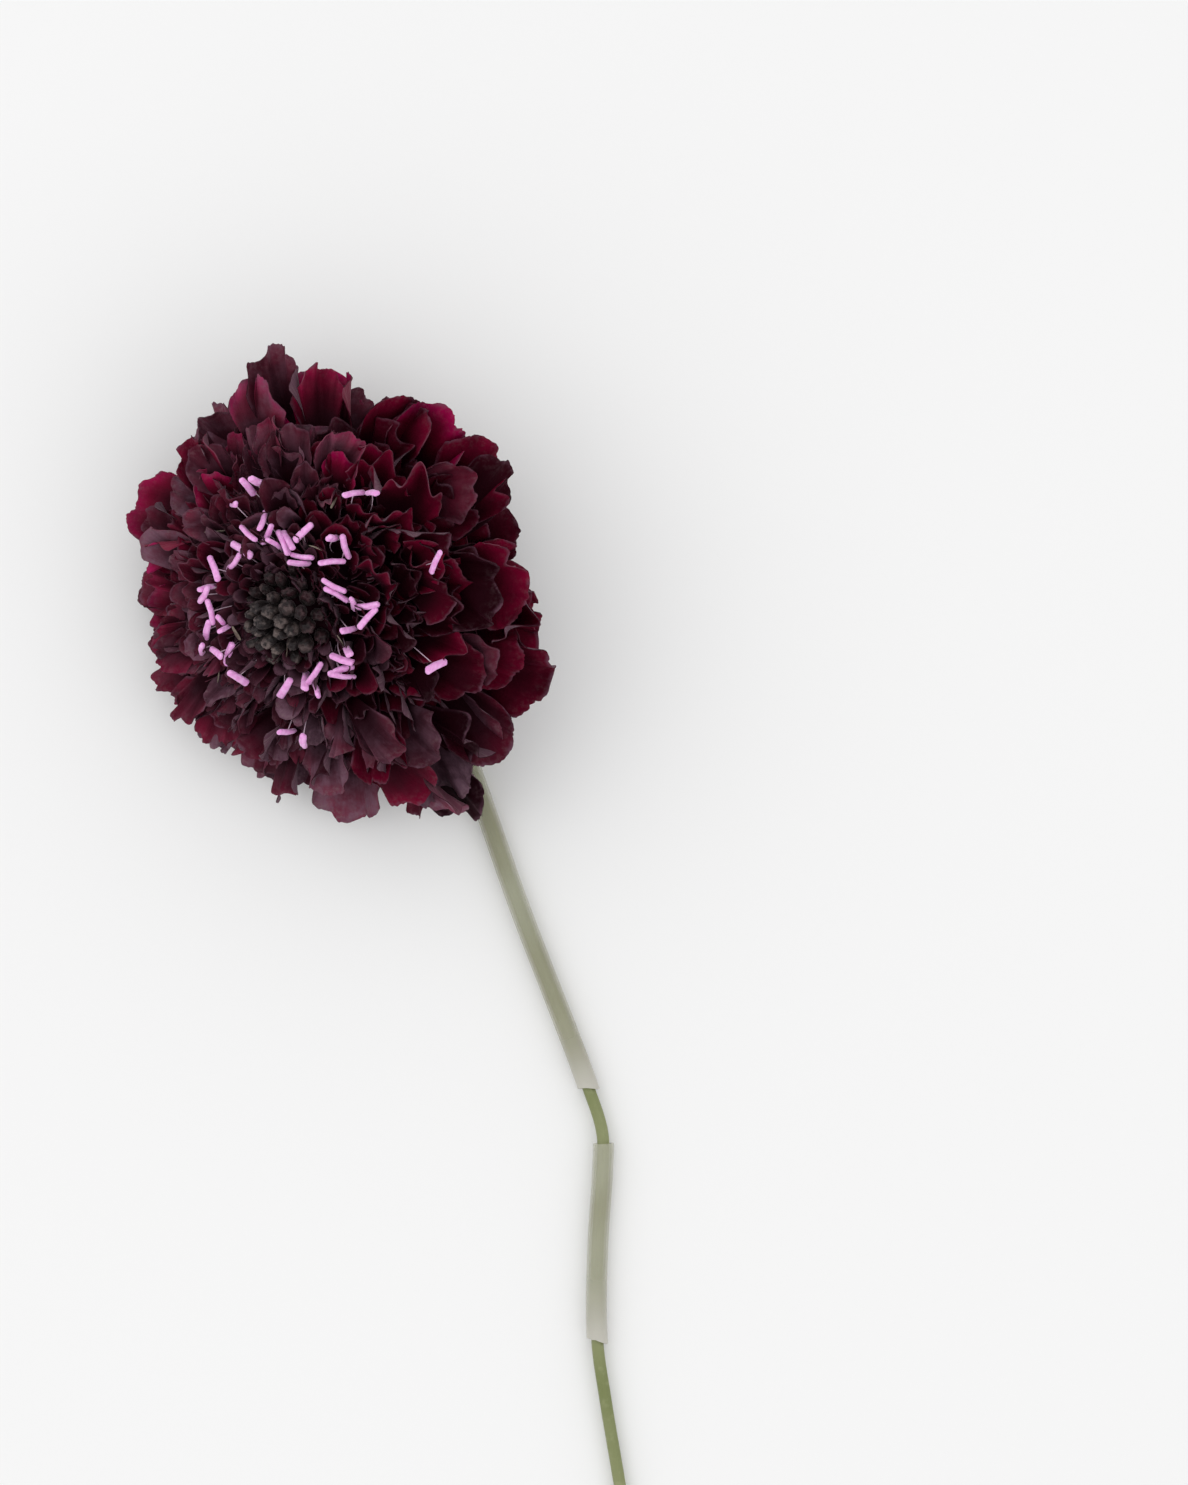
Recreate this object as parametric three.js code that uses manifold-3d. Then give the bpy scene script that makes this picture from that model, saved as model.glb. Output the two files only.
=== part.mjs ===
// A double scabiosa (pincushion flower), cut and laid on a flat surface.
//
// The head looks up and leans a little to one side on its lowest petals. Its neck bends over at once,
// and the stem runs away along the surface inside two short clear straws that stop it from kinking.
// Millimetres, +Z up, the surface is z = 0, and the stem runs towards -Y.

import * as THREE from "three";
import { mergeVertices } from "three/addons/utils/BufferGeometryUtils.js";
import Module from "manifold-3d";

const wasm = await Module();
wasm.setup();

// ---- Driving dimensions -------------------------------------------------------------------------

const GAP = 0.3; // between pieces that touch

// The head: its seat is where the green involucre ends and the florets begin, and its axis leans.
const HEAD_SEAT = new THREE.Vector3(-37.2, 24.8, 10.3);
const HEAD_LEAN = THREE.MathUtils.degToRad(27);
const HEAD_LEANS_TO = THREE.MathUtils.degToRad(208); // direction on the surface, from +X towards +Y

// The core of floret tubes that the petals stand out of, and the seat of the buds on top of it.
const CORE_PROFILE = [
  [0, GAP],
  [4.6, GAP],
  [9.6, 3],
  [11.6, 9],
  [10.2, 14.6],
  [6.6, 18.2],
  [0, 18.2],
];
const CORE_SIDES = 12;
const CORE_TOP = CORE_PROFILE.at(-1)[1];

// Petals stand in whorls. Angles are in degrees from the head's axis: 90 points straight out, more
// points back. start is where a whorl's first petal stands, rise is the height of the roots above the
// seat, and along and across are the number of facets of a petal.
const WHORLS = [
  { start: 305, count: 8, root: 5.6, rise: 1.6, angle: 130, curl: 24, length: 18, width: 11.5 },
  { start: 209, count: 11, root: 8, rise: 3, angle: 103, curl: 22, length: 21, width: 14 },
  { start: 333, count: 13, root: 9.6, rise: 5, angle: 88, curl: 20, length: 24, width: 14.5 },
  { start: 12, count: 13, root: 10.2, rise: 8, angle: 74, curl: 22, length: 22.5, width: 13.5 },
  { start: 56, count: 13, root: 10.2, rise: 11, angle: 62, curl: 26, length: 18.5, width: 11.5 },
  { start: 328, count: 13, root: 9.6, rise: 13.2, angle: 52, curl: 30, length: 12.5, width: 8.4 },
  { start: 105, count: 13, root: 8.2, rise: 14.8, angle: 42, curl: 34, length: 7.8, width: 5.4 },
  { start: 243, count: 12, root: 7, rise: 16.2, angle: 26, curl: 36, length: 5.2, width: 3.6 },
];
const FACETS = [
  { along: 2, across: 2 },
  { along: 2, across: 3 },
  { along: 2, across: 4 },
  { along: 2, across: 4 },
  { along: 2, across: 3 },
  { along: 2, across: 3 },
  { along: 1, across: 2 },
  { along: 1, across: 2 },
];

// A laid head is pressed out of round: how far it reaches in each direction, against a round one.
const REACH = [
  [16, 1.05],
  [30, 0.96],
  [71, 0.95],
  [106, 1.05],
  [135, 0.98],
  [167, 0.86],
  [190, 0.86],
  [210, 0.94],
  [230, 1.05],
  [254, 1.01],
  [282, 1.11],
  [300, 1.12],
  [316, 1.16],
  [332, 1.04],
  [348, 0.94],
];
const PETAL_THICKNESS = 0.62;
const CLAW = 0.2; // width at the root, as a share of the full width
const WIDEST_AT = 0.78; // share of the length where a petal reaches its full width
const ROUND_END = 0.3; // how far the corners of a petal's end fall back
const NOTCH = 0.04; // depth of the cuts in a petal's edge, as a share of its length
const SETTLE_FROM = 1.8; // petals that come lower than this lie down along the surface
const SETTLE_TO = 0.15; // height of their middle where they lie flat, so that their underside is cut flat

// Stamens: thin filaments with a long anther across the tip, in a ring round the buds.
const STAMENS = 34;
const STAMEN_ROOT = 7.6;
const STAMEN_RISE = 16;
const STAMEN_LEAN = 48; // degrees from the head's axis
const STAMEN_REACH = 7.2;
const FILAMENT_RADIUS = 0.3;
const FILAMENT_SIDES = 3;
const ANTHER_RADIUS = 0.5;
const ANTHER_LENGTH = 4.2;
const ANTHER_SIDES = 5;

// Closed buds crowd over a low dome, a little off the head's axis.
const CUSHION_MIDDLE = [-1, -2.1];
const BUD_DOME_RADIUS = 6.2;
const BUD_DOME_HEIGHT = 3.6;
const BUD_DOME_SIDES = 12;
const BUD_RADIUS = 1.4;
const BUD_LENGTHENING = 1.15;
const BUD_COUNT = 22;
const BUD_INSET = 1.3; // the outermost buds stand this far inside the dome's edge
const BUD_ROOM = 0.6; // how far the petals stand back round the buds, at the top
const BUD_ROOM_HEIGHT = 10;

// Involucre: a green disc with a whorl of narrow leaflets.
const DISC_RADIUS = 3.9;
const DISC_HEIGHT = 2;
const DISC_SIDES = 12;
const BRACTS = 9;
const BRACT_ROOT = 2;
const BRACT_SEAT = -0.85; // height of their roots on the disc
const BRACT_LENGTH = 8;
const BRACT_WIDTH = 2.4;
const BRACT_TAPER = [0.8, 1, 0.75, 0.22]; // shares of that width from root to tip
const BRACT_HOLLOW = 0.25;
const BRACT_DROOP = 125; // degrees from the head's axis
const BRACT_ROOM = { radius: BRACT_LENGTH + 2, top: -4.6, bottom: -14 };

// Stem and straws. Each route point is [x, y, z] of the centreline.
const STEM_RADIUS = 0.95;
const NECK_REACH = 6.5; // how far the neck runs straight on before it bends
const STEM_SIDES = 8;
const STEM_STEPS = 40;
const STEM_CROWDING = 1.7; // the stem's steps are finer in its bent neck
const STRAW_BORE = STEM_RADIUS + GAP + 0.05;
const STRAW_WALL = 0.3;
const STRAW_RADIUS = STRAW_BORE + STRAW_WALL;
const STRAW_SIDES = 12;
const STEM_ROUTE = [
  [-25.2, 13.6, STRAW_RADIUS + 0.25],
  [-17.8, -7.1, STRAW_RADIUS],
  [-11.5, -25.1, STRAW_RADIUS],
  [-1.2, -52, STRAW_RADIUS],
  [1.3, -60, STRAW_RADIUS],
  [1.3, -66, STRAW_RADIUS],
  [0.6, -77, STRAW_RADIUS],
  [0.5, -91.5, STRAW_RADIUS],
  [1.8, -101, STRAW_RADIUS - 0.1],
  [4.6, -118, STRAW_RADIUS - 0.4],
  [8.2, -146, STEM_RADIUS + 0.05],
  [10.4, -181, STEM_RADIUS - 0.05],
];
const STEM_ROOM_TO = [-13, -20]; // the petals keep clear of the stem up to here
const UPPER_STRAW = { from: [-25.2, 13.6], to: [-0.6, -53.9], steps: 9 };
const LOWER_STRAW = { from: [1.35, -61.6], to: [0.45, -92], steps: 6 };

// ---- Small tools --------------------------------------------------------------------------------

// A repeatable number from 0 to 1 for one trait of one piece, and the same spread about zero.
const noise = (piece, trait) => {
  const s = Math.sin(piece * 12.9898 + trait * 78.233) * 43758.5453;
  return s - Math.floor(s);
};
const vary = (piece, trait, spread) => (noise(piece, trait) * 2 - 1) * spread;
const GOLDEN_ANGLE = Math.PI * (3 - Math.sqrt(5));

// A closed three.js geometry as a manifold-3d solid, and back again.
function solidFrom(geometry) {
  const bare = geometry.index ? geometry.toNonIndexed() : geometry.clone();
  bare.deleteAttribute("normal");
  bare.deleteAttribute("uv");
  const merged = mergeVertices(bare, 1e-4);
  const vertProperties = merged.attributes.position.array;
  const triVerts = new Uint32Array(merged.index.array);
  return new wasm.Manifold(new wasm.Mesh({ numProp: 3, vertProperties, triVerts }));
}

function geometryFrom(solid) {
  const { vertProperties, triVerts } = solid.getMesh();
  const geometry = new THREE.BufferGeometry();
  geometry.setAttribute("position", new THREE.BufferAttribute(vertProperties, 3));
  geometry.setIndex(new THREE.BufferAttribute(triVerts, 1));
  geometry.computeVertexNormals();
  return geometry;
}

const union = (solids) => wasm.Manifold.union(solids);

// The largest connected body of a solid: a boolean can leave crumbs of a petal's edge behind.
function mainBody(solid) {
  return solid.decompose().reduce((a, b) => (b.volume() > a.volume() ? b : a));
}

function material(color, roughness, extra = {}) {
  return new THREE.MeshStandardMaterial({ color, roughness, metalness: 0, ...extra });
}

function named(name, geometry, look) {
  const mesh = new THREE.Mesh(geometry, look);
  mesh.name = name;
  return mesh;
}

// A thin closed blade from a grid of middle points and normals. Both faces are split the same way.
function blade(grid, normals, thickness) {
  const rows = grid.length;
  const columns = grid[0].length;
  const points = [];
  for (const side of [0.5, -0.5])
    for (let r = 0; r < rows; r++)
      for (let c = 0; c < columns; c++)
        points.push(grid[r][c].clone().addScaledVector(normals[r][c], side * thickness));
  const back = rows * columns;
  const at = (r, c) => r * columns + c;
  const triangles = [];
  for (let r = 0; r + 1 < rows; r++)
    for (let c = 0; c + 1 < columns; c++) {
      const [p, q, s, t] = [at(r, c), at(r, c + 1), at(r + 1, c + 1), at(r + 1, c)];
      triangles.push([s, q, p], [t, s, p]);
      triangles.push([back + p, back + q, back + s], [back + p, back + s, back + t]);
    }
  const edge = [];
  for (let c = 0; c < columns; c++) edge.push(at(0, c));
  for (let r = 1; r < rows; r++) edge.push(at(r, columns - 1));
  for (let c = columns - 2; c >= 0; c--) edge.push(at(rows - 1, c));
  for (let r = rows - 2; r > 0; r--) edge.push(at(r, 0));
  edge.forEach((p, i) => {
    const q = edge[(i + 1) % edge.length];
    triangles.push([back + q, back + p, p], [q, back + q, p]);
  });
  const geometry = new THREE.BufferGeometry().setFromPoints(points);
  geometry.setIndex(triangles.flat());
  return geometry;
}

// ---- The head's own frame -----------------------------------------------------------------------

const head = new THREE.Group();
head.position.copy(HEAD_SEAT);
const headAxis = new THREE.Vector3(
  Math.cos(HEAD_LEANS_TO) * Math.sin(HEAD_LEAN),
  Math.sin(HEAD_LEANS_TO) * Math.sin(HEAD_LEAN),
  Math.cos(HEAD_LEAN),
);
const headX = new THREE.Vector3(1, 0, 0).addScaledVector(headAxis, -headAxis.x).normalize();
const headY = new THREE.Vector3().crossVectors(headAxis, headX);
head.quaternion.setFromRotationMatrix(new THREE.Matrix4().makeBasis(headX, headY, headAxis));
head.updateMatrixWorld(true);

// A low point eases down onto the surface instead of passing through it, and its blade lies flat.
const upInHead = new THREE.Vector3(0, 0, 1).applyQuaternion(head.quaternion.clone().invert());
function settle(point, normal) {
  head.localToWorld(point);
  const drop = SETTLE_FROM - SETTLE_TO;
  const left = Math.exp(Math.min(0, point.z - SETTLE_FROM) / drop);
  if (left < 1) point.z = SETTLE_TO + drop * left;
  const upright = upInHead.clone().multiplyScalar(normal.dot(upInHead) < 0 ? -1 : 1);
  normal.lerp(upright, 1 - left).normalize();
  return head.worldToLocal(point);
}

// ---- Stem and straws ----------------------------------------------------------------------------

const neckTop = headAxis.clone().multiplyScalar(-(DISC_HEIGHT + GAP)).add(HEAD_SEAT);
const [laidStart, laidNext] = STEM_ROUTE.slice(0, 2).map((xyz) => new THREE.Vector3(...xyz));
const laidWay = laidNext.clone().sub(laidStart).normalize();
const neck = new THREE.CubicBezierCurve3(
  neckTop,
  neckTop.clone().addScaledVector(headAxis, -NECK_REACH),
  laidStart.clone().addScaledVector(laidWay, -NECK_REACH),
  laidStart,
);
const stemLine = new THREE.CatmullRomCurve3(
  [...neck.getPoints(6).slice(0, -1), ...STEM_ROUTE.map((xyz) => new THREE.Vector3(...xyz))],
  false,
  "centripetal",
);

// A stretch of the stem's line. Its steps are finer at the start if crowding is more than 1.
class Stretch extends THREE.Curve {
  constructor(fromShare, toShare, crowding = 1) {
    super();
    Object.assign(this, { fromShare, toShare, crowding });
  }
  getPoint(t, target = new THREE.Vector3()) {
    const share = this.fromShare + (this.toShare - this.fromShare) * t ** this.crowding;
    return stemLine.getPointAt(Math.min(1, share), target);
  }
  getUtoTmapping(u) {
    return u;
  }
}

// The share of the stem's length that lies nearest a place on the surface.
function shareNear([x, y]) {
  const steps = 2000;
  let best = 0;
  let bestDistance = Infinity;
  for (let i = 0; i <= steps; i++) {
    const p = stemLine.getPointAt(i / steps);
    const distance = Math.hypot(p.x - x, p.y - y);
    if (distance < bestDistance) [best, bestDistance] = [i / steps, distance];
  }
  return best;
}

// A round bar swept along a stretch of the stem.
function swept(stretch, radius, sides, steps) {
  const section = new THREE.Shape();
  for (let i = 0; i < sides; i++) {
    const turn = ((i + 0.5) / sides) * 2 * Math.PI;
    section[i ? "lineTo" : "moveTo"](radius * Math.cos(turn), radius * Math.sin(turn));
  }
  section.closePath();
  return new THREE.ExtrudeGeometry(section, { steps, extrudePath: stretch, bevelEnabled: false });
}

// What would pass through the surface is cut flat on it.
const onSurface = (solid) => solid.trimByPlane([0, 0, 1], 0);

function stem() {
  const whole = new Stretch(0, 1, STEM_CROWDING);
  const bar = solidFrom(swept(whole, STEM_RADIUS, STEM_SIDES, STEM_STEPS));
  return named("stem", geometryFrom(onSurface(bar)), material(0x84924f, 0.55));
}

function straw(name, { from, to, steps }) {
  const start = shareNear(from);
  const end = shareNear(to);
  const over = (end - start) / steps;
  const length = new Stretch(start, end);
  const boreLength = new Stretch(start - over, end + over);
  const outside = solidFrom(swept(length, STRAW_RADIUS, STRAW_SIDES, steps));
  const bore = solidFrom(swept(boreLength, STRAW_BORE, STRAW_SIDES, steps + 2));
  const look = material(0xcdd0ba, 0.35, { transparent: true, opacity: 0.5 });
  return named(name, geometryFrom(onSurface(outside.subtract(bore))), look);
}

// ---- Petals -------------------------------------------------------------------------------------

// One point of a petal: u runs from root to end, v from side to side.
function petalPoint(petal, u, v) {
  const halfWidth =
    (petal.width / 2) *
    (CLAW + (1 - CLAW) * Math.pow(Math.sin((Math.min(1, u / WIDEST_AT) * Math.PI) / 2), 1.4));
  const cut = NOTCH * u * u * Math.cos(v * Math.PI * 2 + petal.phase);
  const along = petal.length * u * (1 - ROUND_END * Math.abs(v) ** 3 * u + cut);
  const curl = petal.curl || 1e-6;
  const angle = petal.angle + (curl * along) / petal.length;
  const bendRadius = petal.length / curl;
  const radius = petal.root + bendRadius * (Math.cos(petal.angle) - Math.cos(angle));
  const rise = petal.rise + bendRadius * (Math.sin(angle) - Math.sin(petal.angle));
  const turn = petal.turn + petal.swing * u;
  const out = new THREE.Vector3(Math.cos(turn), Math.sin(turn), 0);
  const sideways = new THREE.Vector3(-Math.sin(turn), Math.cos(turn), 0);
  const facing = out.clone().multiplyScalar(-Math.cos(angle)).setZ(Math.sin(angle));
  const roll = petal.roll * u;
  const across = sideways
    .clone()
    .multiplyScalar(Math.cos(roll))
    .addScaledVector(facing, Math.sin(roll));
  const lift = facing
    .clone()
    .multiplyScalar(Math.cos(roll))
    .addScaledVector(sideways, -Math.sin(roll));
  const wave = petal.ruffle * u * u * Math.sin(v * Math.PI * 1.35 + petal.phase);
  const hollow = petal.cup * halfWidth * v * v * u;
  const point = out
    .multiplyScalar(radius)
    .setZ(rise)
    .addScaledVector(across, v * halfWidth)
    .addScaledVector(lift, hollow + wave);
  return { point, lift };
}

function petalSolid(petal, alongSteps, acrossSteps) {
  const grid = [];
  const normals = [];
  for (let i = 0; i <= alongSteps; i++) {
    const row = [];
    const rowNormals = [];
    for (let j = 0; j <= acrossSteps; j++) {
      const { point, lift } = petalPoint(petal, i / alongSteps, (2 * j) / acrossSteps - 1);
      row.push(settle(point, lift));
      rowNormals.push(lift);
    }
    grid.push(row);
    normals.push(rowNormals);
  }
  return solidFrom(blade(grid, normals, PETAL_THICKNESS));
}

// How far the head reaches in one direction, read off the table between its entries.
function reachTowards(turn) {
  const degrees = THREE.MathUtils.euclideanModulo(THREE.MathUtils.radToDeg(turn), 360);
  const [first, last] = [REACH[0], REACH.at(-1)];
  const round = [[last[0] - 360, last[1]], ...REACH, [first[0] + 360, first[1]]];
  const next = round.findIndex(([way]) => way > degrees);
  const [before, after] = [round[next - 1], round[next]];
  return THREE.MathUtils.mapLinear(degrees, before[0], after[0], before[1], after[1]);
}

// The traits of petal k of a whorl. Neighbours overlap like shingles, each a little differently.
function petalTraits(whorl, w, k) {
  const piece = w * 100 + k;
  const step = (2 * Math.PI) / whorl.count;
  const turn = THREE.MathUtils.degToRad(whorl.start) + step * (k + vary(piece, 246, 0.2));
  return {
    root: whorl.root,
    rise: whorl.rise + vary(piece, 1, 0.5),
    angle: THREE.MathUtils.degToRad(whorl.angle + vary(piece, 2, 5)),
    curl: THREE.MathUtils.degToRad(whorl.curl + vary(piece, 3, 12)),
    length: whorl.length * (reachTowards(turn) + vary(piece, 4, 0.09)),
    width: whorl.width * (1 + vary(piece, 5, 0.14)),
    turn,
    swing: vary(piece, 7, 0.16),
    roll: 0.3 + vary(piece, 8, 0.14),
    cup: 0.12 + vary(piece, 9, 0.22),
    ruffle: whorl.width * 0.085,
    phase: noise(piece, 10) * 2 * Math.PI,
  };
}

function petals() {
  return WHORLS.flatMap((whorl, w) =>
    Array.from({ length: whorl.count }, (_, k) =>
      petalSolid(petalTraits(whorl, w, k), FACETS[w].along, FACETS[w].across),
    ),
  );
}

// ---- Stamens ------------------------------------------------------------------------------------

// A closed rod between two points.
function rod(from, to, radius, sides) {
  const length = from.distanceTo(to);
  const geometry = new THREE.CylinderGeometry(radius, radius, length, sides);
  geometry.translate(0, length / 2, 0);
  const turn = new THREE.Quaternion().setFromUnitVectors(
    new THREE.Vector3(0, 1, 0),
    to.clone().sub(from).normalize(),
  );
  return geometry.applyQuaternion(turn).translate(from.x, from.y, from.z);
}

function stamen(k) {
  const turn = k * GOLDEN_ANGLE;
  const lean = THREE.MathUtils.degToRad(STAMEN_LEAN + vary(k, 21, 14));
  const reach = STAMEN_REACH + vary(k, 22, 1.4);
  const root = new THREE.Vector3(STAMEN_ROOT * Math.cos(turn), STAMEN_ROOT * Math.sin(turn), STAMEN_RISE);
  const way = new THREE.Vector3(
    Math.cos(turn) * Math.sin(lean),
    Math.sin(turn) * Math.sin(lean),
    Math.cos(lean),
  );
  const tip = root.clone().addScaledVector(way, reach);
  const lie = new THREE.Vector3(vary(k, 23, 1), vary(k, 24, 1), vary(k, 25, 0.5)).normalize();
  const straight = ANTHER_LENGTH - 2 * ANTHER_RADIUS;
  const anther = new THREE.CapsuleGeometry(ANTHER_RADIUS, straight, 1, ANTHER_SIDES);
  anther.applyQuaternion(
    new THREE.Quaternion().setFromUnitVectors(new THREE.Vector3(0, 1, 0), lie),
  );
  anther.translate(tip.x, tip.y, tip.z);
  return union([solidFrom(rod(root, tip, FILAMENT_RADIUS, FILAMENT_SIDES)), solidFrom(anther)]);
}

// ---- Florets: the burgundy body of the head ------------------------------------------------------

function lathe(profile, sides) {
  const points = profile.map(([radius, rise]) => new THREE.Vector2(radius, rise));
  return new THREE.LatheGeometry(points, sides).rotateX(Math.PI / 2);
}

function florets() {
  const stamens = Array.from({ length: STAMENS }, (_, k) => stamen(k));
  const core = solidFrom(lathe(CORE_PROFILE, CORE_SIDES));
  // Room for the buds, and for the involucre with its leaflets' roots.
  const budRoom = solidFrom(
    lathe(
      [
        [0, CORE_TOP],
        [BUD_DOME_RADIUS + GAP, CORE_TOP],
        [BUD_DOME_RADIUS + GAP + BUD_ROOM, CORE_TOP + BUD_ROOM_HEIGHT],
        [0, CORE_TOP + BUD_ROOM_HEIGHT],
      ],
      CORE_SIDES,
    ).translate(...CUSHION_MIDDLE, 0),
  );
  const involucreRoom = solidFrom(
    lathe(
      [
        [0, BRACT_ROOM.bottom],
        [BRACT_ROOM.radius, BRACT_ROOM.bottom],
        [BRACT_ROOM.radius, BRACT_ROOM.top],
        [DISC_RADIUS + GAP, GAP],
        [0, GAP],
      ],
      CORE_SIDES,
    ),
  );
  const stemRoom = solidFrom(
    swept(new Stretch(0, shareNear(STEM_ROOM_TO)), STRAW_RADIUS + GAP, STEM_SIDES, 12).applyMatrix4(
      head.matrixWorld.clone().invert(),
    ),
  );
  const whole = union([core, ...petals(), ...stamens])
    .subtract(budRoom)
    .subtract(involucreRoom)
    .subtract(stemRoom)
    .trimByPlane(upInHead.toArray(), -HEAD_SEAT.z);
  return named("florets", geometryFrom(mainBody(whole)), material(0x4a0618, 0.75));
}

// ---- Buds: the dark closed buds in the middle ----------------------------------------------------

function buds() {
  const base = CORE_TOP + GAP;
  const dome = lathe(
    [
      [0, base],
      [BUD_DOME_RADIUS * 0.9, base],
      [BUD_DOME_RADIUS * 0.85, base + BUD_DOME_HEIGHT * 0.4],
      [BUD_DOME_RADIUS * 0.6, base + BUD_DOME_HEIGHT * 0.82],
      [0, base + BUD_DOME_HEIGHT],
    ],
    BUD_DOME_SIDES,
  );
  const balls = Array.from({ length: BUD_COUNT }, (_, k) => {
    const share = Math.sqrt((k + 0.5) / BUD_COUNT);
    const radius = share * (BUD_DOME_RADIUS - BUD_INSET);
    const rise = base + BUD_DOME_HEIGHT * (1 - 0.75 * share * share);
    const ball = new THREE.IcosahedronGeometry(BUD_RADIUS * (1 + vary(k, 31, 0.12)), 1);
    ball.scale(1, 1, BUD_LENGTHENING).rotateZ(k);
    ball.translate(
      radius * Math.cos(k * GOLDEN_ANGLE),
      radius * Math.sin(k * GOLDEN_ANGLE),
      Math.max(rise, base + BUD_RADIUS * BUD_LENGTHENING),
    );
    return solidFrom(ball);
  });
  const whole = mainBody(union([solidFrom(dome), ...balls])).translate(...CUSHION_MIDDLE, 0);
  return named("buds", geometryFrom(whole), material(0x3a3036, 0.8));
}

// ---- Involucre: green leaflets under the florets -------------------------------------------------

function bractSolid(k) {
  const turn = (k / BRACTS) * 2 * Math.PI;
  const length = BRACT_LENGTH * (1 + vary(k, 41, 0.15));
  const droop = THREE.MathUtils.degToRad(BRACT_DROOP + vary(k, 42, 6));
  const steps = BRACT_TAPER.length - 1;
  const out = new THREE.Vector3(Math.cos(turn), Math.sin(turn), 0);
  const sideways = new THREE.Vector3(-Math.sin(turn), Math.cos(turn), 0);
  const facing = out.clone().multiplyScalar(-Math.cos(droop)).setZ(Math.sin(droop));
  const grid = BRACT_TAPER.map((width, i) =>
    [-1, 0, 1].map((v) => {
      const along = (length * i) / steps;
      return out
        .clone()
        .multiplyScalar(BRACT_ROOT + Math.sin(droop) * along)
        .setZ(BRACT_SEAT + Math.cos(droop) * along)
        .addScaledVector(sideways, (v * width * BRACT_WIDTH) / 2)
        .addScaledVector(facing, v * v * BRACT_HOLLOW);
    }),
  );
  const normals = grid.map((row) => row.map(() => facing));
  return solidFrom(blade(grid, normals, PETAL_THICKNESS));
}

function involucre() {
  const disc = lathe(
    [
      [0, -DISC_HEIGHT],
      [STEM_RADIUS + 0.5, -DISC_HEIGHT],
      [DISC_RADIUS * 0.8, -DISC_HEIGHT * 0.6],
      [DISC_RADIUS, -0.3],
      [DISC_RADIUS - 0.3, 0],
      [0, 0],
    ],
    DISC_SIDES,
  );
  const leaflets = Array.from({ length: BRACTS }, (_, k) => bractSolid(k));
  const whole = mainBody(union([solidFrom(disc), ...leaflets]));
  return named("involucre", geometryFrom(whole), material(0x5c7038, 0.7));
}

// ---- The flower ---------------------------------------------------------------------------------

head.add(florets(), buds(), involucre());

const laidOut = new THREE.Group();
laidOut.add(head, stem(), straw("upper_straw", UPPER_STRAW), straw("lower_straw", LOWER_STRAW));

// The origin is under the middle of the flower's bounding box, on the surface.
laidOut.updateMatrixWorld(true);
const middle = new THREE.Box3().setFromObject(laidOut, true).getCenter(new THREE.Vector3());
laidOut.position.set(-middle.x, -middle.y, 0);

const flower = new THREE.Group();
flower.name = "scabiosa_flower";
flower.add(laidOut);

export default flower;
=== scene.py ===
# %% [markdown]
# # A laid scabiosa, from frame to finish
# A double scabiosa lies on a pale table and looks up at us. Its neck bends over under the head, and the
# stem runs away through two clear straws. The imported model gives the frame: every piece here grows
# where that frame says, at real size, in metres.

# %% The frame
import math

import bpy
import numpy as np
from mathutils import Matrix, Vector


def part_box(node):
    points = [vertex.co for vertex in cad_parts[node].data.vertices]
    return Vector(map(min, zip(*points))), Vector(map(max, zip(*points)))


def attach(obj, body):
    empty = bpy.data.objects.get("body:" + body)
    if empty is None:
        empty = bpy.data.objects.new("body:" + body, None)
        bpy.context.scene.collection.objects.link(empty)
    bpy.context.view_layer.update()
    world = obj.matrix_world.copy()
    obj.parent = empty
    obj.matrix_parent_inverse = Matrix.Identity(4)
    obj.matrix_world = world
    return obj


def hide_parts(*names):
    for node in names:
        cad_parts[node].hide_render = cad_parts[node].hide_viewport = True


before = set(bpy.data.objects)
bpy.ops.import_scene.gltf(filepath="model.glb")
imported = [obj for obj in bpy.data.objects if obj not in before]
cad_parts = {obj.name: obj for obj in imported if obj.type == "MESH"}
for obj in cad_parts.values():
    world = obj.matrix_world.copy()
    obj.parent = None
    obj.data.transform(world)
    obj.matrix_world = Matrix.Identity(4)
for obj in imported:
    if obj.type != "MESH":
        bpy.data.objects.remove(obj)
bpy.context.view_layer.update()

MM = 0.001
print("the frame holds", sorted(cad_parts))

# %% [markdown]
# ## Where the head sits
# The head is a small world of its own, so its sizes are easiest to say in its own frame: millimetres,
# with the axis as Z and the seat of the florets at zero. One matrix carries them onto the table. The
# stem's cut end is easy to find in the frame, so it ties the two together.

# %% The head's frame
STEM_RADIUS = 0.95
CUT_END = (10.4, -181.0)
HEAD_SEAT = (-37.2, 24.8, 10.3)
HEAD_LEAN = math.radians(27)
HEAD_LEANS_TO = math.radians(208)

stem_low, stem_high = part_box("stem")
slide = Vector((stem_high.x / MM - STEM_RADIUS - CUT_END[0], stem_low.y / MM - CUT_END[1], 0))

head_axis = Vector((
    math.cos(HEAD_LEANS_TO) * math.sin(HEAD_LEAN),
    math.sin(HEAD_LEANS_TO) * math.sin(HEAD_LEAN),
    math.cos(HEAD_LEAN),
))
head_x = (Vector((1, 0, 0)) - head_axis * head_axis.x).normalized()
head_y = head_axis.cross(head_x)
head_turn = np.array([head_x, head_y, head_axis])
head_seat = np.array(HEAD_SEAT) + np.array(slide)


def onto_table(points):
    """Points of the head, in millimetres, as points above the table, in millimetres."""
    return points @ head_turn + head_seat


print("the head's seat is at", [round(float(x), 1) for x in head_seat], "mm")

# %% [markdown]
# ## Chance that repeats
# No two petals are alike, but the flower must grow the same way each time. A random generator would do,
# but one petal more would change all that come after it. So each piece has a number, each trait has
# another, and chance is worked out from these two alone.

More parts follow.
